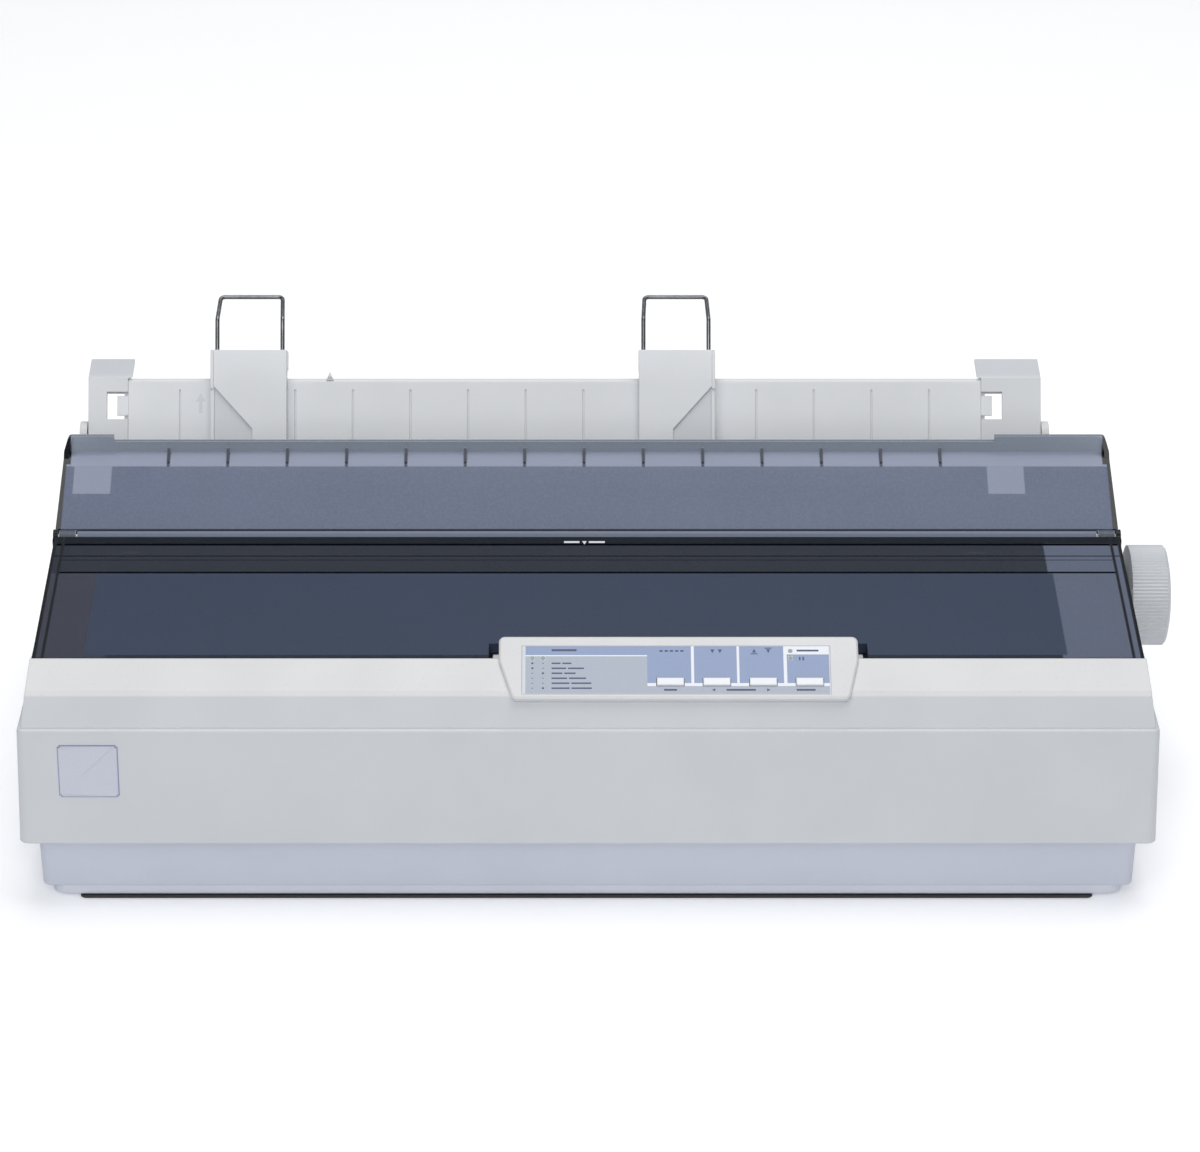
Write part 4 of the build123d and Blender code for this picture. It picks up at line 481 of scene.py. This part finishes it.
FINISHES = [
    (CASE, ["upper_case", "control_panel"]),
    (BASE, ["lower_case"]),
    (GUIDE, ["sheet_guide"]),
    (EDGE_GUIDE, ["left_edge_guide", "right_edge_guide"]),
    (BRACKET, ["guide_brackets"]),
    (KNOB, ["platen_knob"]),
    (BUTTON, ["panel_button_1", "panel_button_2", "panel_button_3", "panel_button_4"]),
    (FRONT_SMOKE, ["printer_cover"]),
    (REAR_SMOKE, ["rear_cover"]),
    (BAR_SMOKE, ["tear_off_bar"]),
    (BLACK_SHEET, ["bottom_plate"]),
    (RUBBER, ["rubber_feet", "timing_belt", "pressure_rollers"]),
    (PLATEN, ["platen_roller"]),
    (ZINC, ["base_frame", "left_side_frame", "right_side_frame", "carriage_bed", "case_screws"]),
    (STEEL, ["hinge_pins", "platen_shaft", "carriage_shaft", "tractor_shaft", "tractor_rail"]),
    (WIRE, ["left_wire_support", "right_wire_support"]),
    (MOTOR, ["paper_feed_motor", "carriage_motor"]),
    (BLACK, ["ribbon_cartridge", "carriage", "paper_guide", "power_switch", "power_rocker",
             "ac_inlet"]),
    (DARK, ["left_tractor", "right_tractor", "left_tractor_lid", "right_tractor_lid"]),
    (CONNECTOR, ["interface_connector"]),
    (NYLON, ["platen_gear", "idler_gear", "tractor_gear", "drive_pulley", "idler_pulley"]),
    (BRASS, ["motor_pinion"]),
    (HEAD, ["print_head"]),
    (RIBBON, ["ink_ribbon"]),
    (RIBBON_KNOB, ["ribbon_knob"]),
    (LEVER, ["head_gap_lever"]),
    (GREEN_BOARD, ["panel_board", "main_board", "power_supply"]),
    (LAMP, ["indicator_leds"]),
    (FILM, ["panel_overlay"]),
]

for material, names in FINISHES:
    for name in names:
        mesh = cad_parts[name].data
        mesh.materials.clear()
        mesh.materials.append(material)


# ------------------------------------------------------------------ printed marks
def flat_piece(name, polygons, matrix, body):
    """One piece of flat printed polygons, each given as (points in mm, material)."""
    mesh = bpy.data.meshes.new(name)
    build = bmesh.new()
    materials = []
    for points, material in polygons:
        if material not in materials:
            materials.append(material)
        corners = [build.verts.new(matrix @ Vector((x * MM, v * MM, 0))) for x, v in points]
        build.faces.new(corners).material_index = materials.index(material)
    build.to_mesh(mesh)
    build.free()
    for material in materials:
        mesh.materials.append(material)
    piece = bpy.data.objects.new(name, mesh)
    bpy.context.scene.collection.objects.link(piece)
    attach(piece, body)
    return piece


def inked(areas, holes):
    """Polygons of printed areas cut into cells, later areas on top, holes left open."""
    rects = [area[:4] for area in areas] + holes
    xs = sorted({x for rect in rects for x in rect[:2]})
    vs = sorted({v for rect in rects for v in rect[2:]})
    cells = []
    for x0, x1 in zip(xs, xs[1:]):
        for v0, v1 in zip(vs, vs[1:]):
            x, v = (x0 + x1) / 2, (v0 + v1) / 2
            if any(a < x < b and c < v < d for a, b, c, d in holes):
                continue
            top = [ink for a, b, c, d, ink in areas if a < x < b and c < v < d]
            if top:
                cells.append(([(x0, v0), (x1, v0), (x1, v1), (x0, v1)], top[-1]))
    return cells


def bar(x0, x1, v, height=1.0, ink=None):
    """Short printed bar."""
    low, high = v - height / 2, v + height / 2
    return ([(x0, low), (x1, low), (x1, high), (x0, high)], ink or INK_DARK)


def arrow(x, v, size, way):
    """Small printed triangle that points left, right, up or down."""
    turn = {"right": 0, "up": 90, "left": 180, "down": 270}[way]
    points = [(x + size * math.cos(math.radians(turn + a)),
               v + size * math.sin(math.radians(turn + a))) for a in (0, 130, 230)]
    return (points, INK_DARK)


def dot(x, v, radius):
    """Small printed disc."""
    points = [(x + radius * math.cos(math.radians(30 * i)),
               v + radius * math.sin(math.radians(30 * i))) for i in range(12)]
    return (points, INK_DARK)


def panel_print():
    """The panel's coloured fields, with plain bars and arrows for its legends."""
    fields = [
        (-30.0, 115.4, -2.6, 23.4, INK_WHITE),
        (-30.0, 28.3, -2.6, 17.9, INK_GREY),
        (28.3, 115.4, -2.6, 1.6, INK_GREY),
        (-30.0, 28.3, 18.5, 23.4, INK_BLUE),
        (28.3, 49.3, 3.2, 23.4, INK_BLUE),
        (50.7, 71.2, 3.2, 23.4, INK_BLUE),
        (72.4, 93.6, 3.2, 23.4, INK_BLUE),
        (95.2, 115.4, 3.2, 18.9, INK_BLUE),
    ]
    half_x, half_v = BUTTON_HALF
    holes = [(x - half_x - 0.3, x + half_x + 0.3, v - half_v - 0.3, v + half_v + 0.3)
             for x, v in BUTTONS]
    holes += [(x - 1.1, x + 1.1, v - 1.1, v + 1.1) for x, v in LAMPS]
    face = sloped(DECK_FOOT, DECK_ANGLE, PANEL_RISE + 0.00002)
    flat_piece("panel_fields", inked(fields, holes), face, "case")

    marks = [bar(-17.5, -5.5, 21.2, 1.1)]
    lengths = (9.5, 15.5, 11.5, 16.5, 19.0, 19.2)
    for i, length in enumerate(lengths):
        v = 14.0 - 2.72 * i
        marks.append(bar(-17.5, -17.5 + length * 0.45, v, 0.8))
        marks.append(bar(-16.6 + length * 0.45, -17.5 + length, v, 0.8))
        marks.append(dot(-26.7, v, 0.55) if i < 2 else bar(-27.1, -26.3, v, 0.35))
        marks.append(dot(-21.6, v, 0.55) if i in (2, 5) else bar(-22.0, -21.2, v, 0.35))
    # tear line, paper feed, load, pause
    marks += [bar(34.2 + 2.5 * i, 35.8 + 2.5 * i, 20.8, 0.9) for i in range(5)]
    marks += [arrow(59.6, 20.8, 1.3, "down"), arrow(63.2, 20.8, 1.3, "down")]
    marks += [arrow(79.6, 20.7, 1.3, "up"), bar(77.9, 81.3, 19.2, 0.5),
              arrow(86.4, 20.9, 1.3, "down"), bar(84.7, 88.1, 22.3, 0.5)]
    marks += [bar(100.0, 110.5, 21.0, 1.0), bar(101.0, 101.8, 16.6, 1.9),
              bar(102.7, 103.5, 16.6, 1.9)]
    marks += [bar(36.2, 42.4, -0.5, 1.0), bar(66.0, 80.0, -0.5, 1.0), bar(99.5, 108.5, -0.5, 1.0),
              arrow(60.0, -0.5, 1.0, "left"), arrow(86.0, -0.5, 1.0, "right")]
    raised = sloped(DECK_FOOT, DECK_ANGLE, PANEL_RISE + 0.00005)
    flat_piece("panel_legends", marks, raised, "case")


def bar_mark():
    """White centre line and triangle on the front cover, close to the tear-off bar."""
    back, front = -6.5, -8.2
    line = [([(x0, front), (x1, front), (x1, back), (x0, back)], MARK)
            for x0, x1 in ((-11.5, -3.8), (0.9, 8.9))]
    triangle = ([(-1.3, front - 1.4), (-0.1, back), (-2.5, back)], MARK)
    face = sloped(COVER_EDGE, COVER_ANGLE, 0.00004)
    flat_piece("bar_mark", line + [triangle], face, "printer_cover")


def badge():
    """Bare badge on the front wall: a thin plate with a rim."""
    width, height, thick = 29.0, 27.9, 0.00035
    lean = math.atan2((WALL_TOP - WALL_FOOT).z, (WALL_TOP - WALL_FOOT).y)
    middle = WALL_FOOT.lerp(WALL_TOP, (0.0752 - WALL_FOOT.z) / (WALL_TOP - WALL_FOOT).z)
    face = sloped(middle + Vector((-0.2393, 0, 0)), lean, thick / 2 + 0.00002)
    mesh = bpy.data.meshes.new("badge")
    build = bmesh.new()
    bmesh.ops.create_cube(build, size=1.0)
    bmesh.ops.scale(build, vec=(width * MM, height * MM, thick), verts=build.verts)
    upright = [e for e in build.edges if abs((e.verts[0].co - e.verts[1].co).z) > thick / 2]
    bmesh.ops.bevel(build, geom=upright, offset=0.0009, segments=4, affect="EDGES")
    top = [e for e in build.edges if all(v.co.z > 0 for v in e.verts)
           and len(e.link_faces) == 2
           and abs(e.link_faces[0].normal.z) + abs(e.link_faces[1].normal.z) < 1.5]
    bmesh.ops.bevel(build, geom=top, offset=0.0002, segments=2, affect="EDGES")
    inner = max(build.faces, key=lambda f: f.calc_center_median().z * 1e3 + f.calc_area())
    bmesh.ops.inset_region(build, faces=[inner], thickness=0.0005, depth=0.0)
    for f in build.faces:
        f.material_index = 0 if f is inner else 1
    bmesh.ops.transform(build, matrix=face, verts=build.verts)
    build.to_mesh(mesh)
    build.free()
    mesh.materials.append(BADGE)
    mesh.materials.append(BADGE_RIM)
    piece = bpy.data.objects.new("badge", mesh)
    bpy.context.scene.collection.objects.link(piece)
    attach(piece, "case")


def guide_mark():
    """Faint printed arrow on the sheet guide, where the left edge guide is set."""
    face = sloped(GUIDE_FOOT, GUIDE_ANGLE, 0.00003)
    outline = [(-203.4, 27), (-201.6, 27), (-201.6, 33), (-200.0, 33), (-202.5, 37.5),
               (-205.0, 33), (-203.4, 33)]
    flat_piece("guide_mark", [(outline, FAINT)], face, "sheet_guide")


def loop(build, x0, x1, y0, y1, z, radius):
    """Closed row of vertices: a rounded rectangle in millimetres at a height."""
    row = []
    for cx, cy, start in ((x1 - radius, y1 - radius, 0), (x0 + radius, y1 - radius, 90),
                          (x0 + radius, y0 + radius, 180), (x1 - radius, y0 + radius, 270)):
        for step in range(0, 91, 15):
            turn = math.radians(start + step)
            row.append(build.verts.new(((cx + radius * math.cos(turn)) * MM,
                                        (cy + radius * math.sin(turn)) * MM, z * MM)))
    return row


def lathe(name, rows, material):
    """Closed band through rows of vertices, the last joined to the first."""
    build, loops = rows
    for low, high in zip(loops, loops[1:] + loops[:1]):
        for i in range(len(low)):
            k = (i + 1) % len(low)
            build.faces.new((low[i], low[k], high[k], high[i]))
    bmesh.ops.recalc_face_normals(build, faces=build.faces)
    mesh = bpy.data.meshes.new(name)
    build.to_mesh(mesh)
    build.free()
    mesh.materials.append(material)
    piece = bpy.data.objects.new(name, mesh)
    bpy.context.scene.collection.objects.link(piece)
    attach(piece, "case")


def base_trim():
    """Lower step of the base as it shows in front, and under it a dark strip: the bottom sheet's
    edge and a painted shadow.
    """
    build = bmesh.new()
    outer = [(1.6, 0.6), (2.1, 0.0), (PLINTH_TOP / MM + 0.04, 0.0)]
    loops = [loop(build, -261.2 + inset, 261.2 - inset, -128.5 + inset, 124.2 - inset, z, 7.0)
             for z, inset in outer]
    inner = [loop(build, -260.6, 260.6, -123.6, 123.6, z, 6.5) for z in (outer[-1][0], 1.6)]
    lathe("base_skirt", (build, loops + inner), BASE)

    # dark strip under the base's front edge: partly the bottom sheet's edge, partly a painted
    # shadow
    build = bmesh.new()
    loops = [loop(build, -247.8, 246.8, -129.8, 118.0, z, 3.0) for z in (0.2, 1.5)]
    inner = [loop(build, -244.8, 243.8, -124.0, 115.0, z, 2.0) for z in (1.5, 0.2)]
    lathe("base_lip_and_shadow", (build, loops + inner), BLACK)


panel_print()
bar_mark()
base_trim()
badge()
guide_mark()


# ------------------------------------------------------------------ floor, light, camera
def stage_floor():
    """Wide pale floor that curves up far behind the printer."""
    mesh = bpy.data.meshes.new("floor")
    build = bmesh.new()
    half = 6.0
    profile = [(-4.0, 0.0), (3.0, 0.0)]
    profile += [(3.0 + 1.5 * math.sin(math.radians(a)), 1.5 - 1.5 * math.cos(math.radians(a)))
                for a in range(10, 91, 10)]
    profile.append((4.5, 5.0))
    rows = [[build.verts.new((x, y, z)) for x in (-half, half)] for y, z in profile]
    for low, high in zip(rows, rows[1:]):
        build.faces.new((low[0], low[1], high[1], high[0])).smooth = True
    build.to_mesh(mesh)
    build.free()
    mesh.materials.append(FLOOR)
    piece = bpy.data.objects.new("floor", mesh)
    bpy.context.scene.collection.objects.link(piece)


def soft_box(name, at, aim, size, power):
    """Square area light at a place, aimed at a point."""
    light = bpy.data.lights.new(name, "AREA")
    light.size = size
    light.energy = power
    lamp = bpy.data.objects.new(name, light)
    lamp.location = at
    lamp.rotation_euler = (Vector(aim) - Vector(at)).to_track_quat("-Z", "Y").to_euler()
    bpy.context.scene.collection.objects.link(lamp)


def light():
    """Even studio light: white surroundings and three large soft boxes."""
    world = bpy.data.worlds.new("studio")
    world.use_nodes = True
    sky = world.node_tree.nodes["Background"]
    sky.inputs["Color"].default_value = (0.94, 0.97, 1.0, 1.0)
    sky.inputs["Strength"].default_value = 0.22
    bpy.context.scene.world = world
    soft_box("key", (-1.0, -2.0, 2.4), (0, 0, 0.1), 1.8, 20)
    soft_box("front", (0.3, -2.8, 1.5), (0, 0, 0.1), 1.6, 23)
    soft_box("top", (0.2, 0.3, 2.6), (0, 0, 0.1), 2.2, 42)


def camera():
    """Camera at the photograph's angle: from the front, 26 degrees above level."""
    data = bpy.data.cameras.new("camera")
    data.sensor_width = 36.0
    data.lens = 125.87
    data.shift_x = 0.0308
    eye = bpy.data.objects.new("camera", data)
    eye.location = (-0.012, -1.9027, 1.03985)
    eye.rotation_euler = (math.radians(64), 0, 0)
    bpy.context.scene.collection.objects.link(eye)
    bpy.context.scene.camera = eye


stage_floor()
light()
camera()
bpy.context.scene.view_settings.view_transform = "Standard"
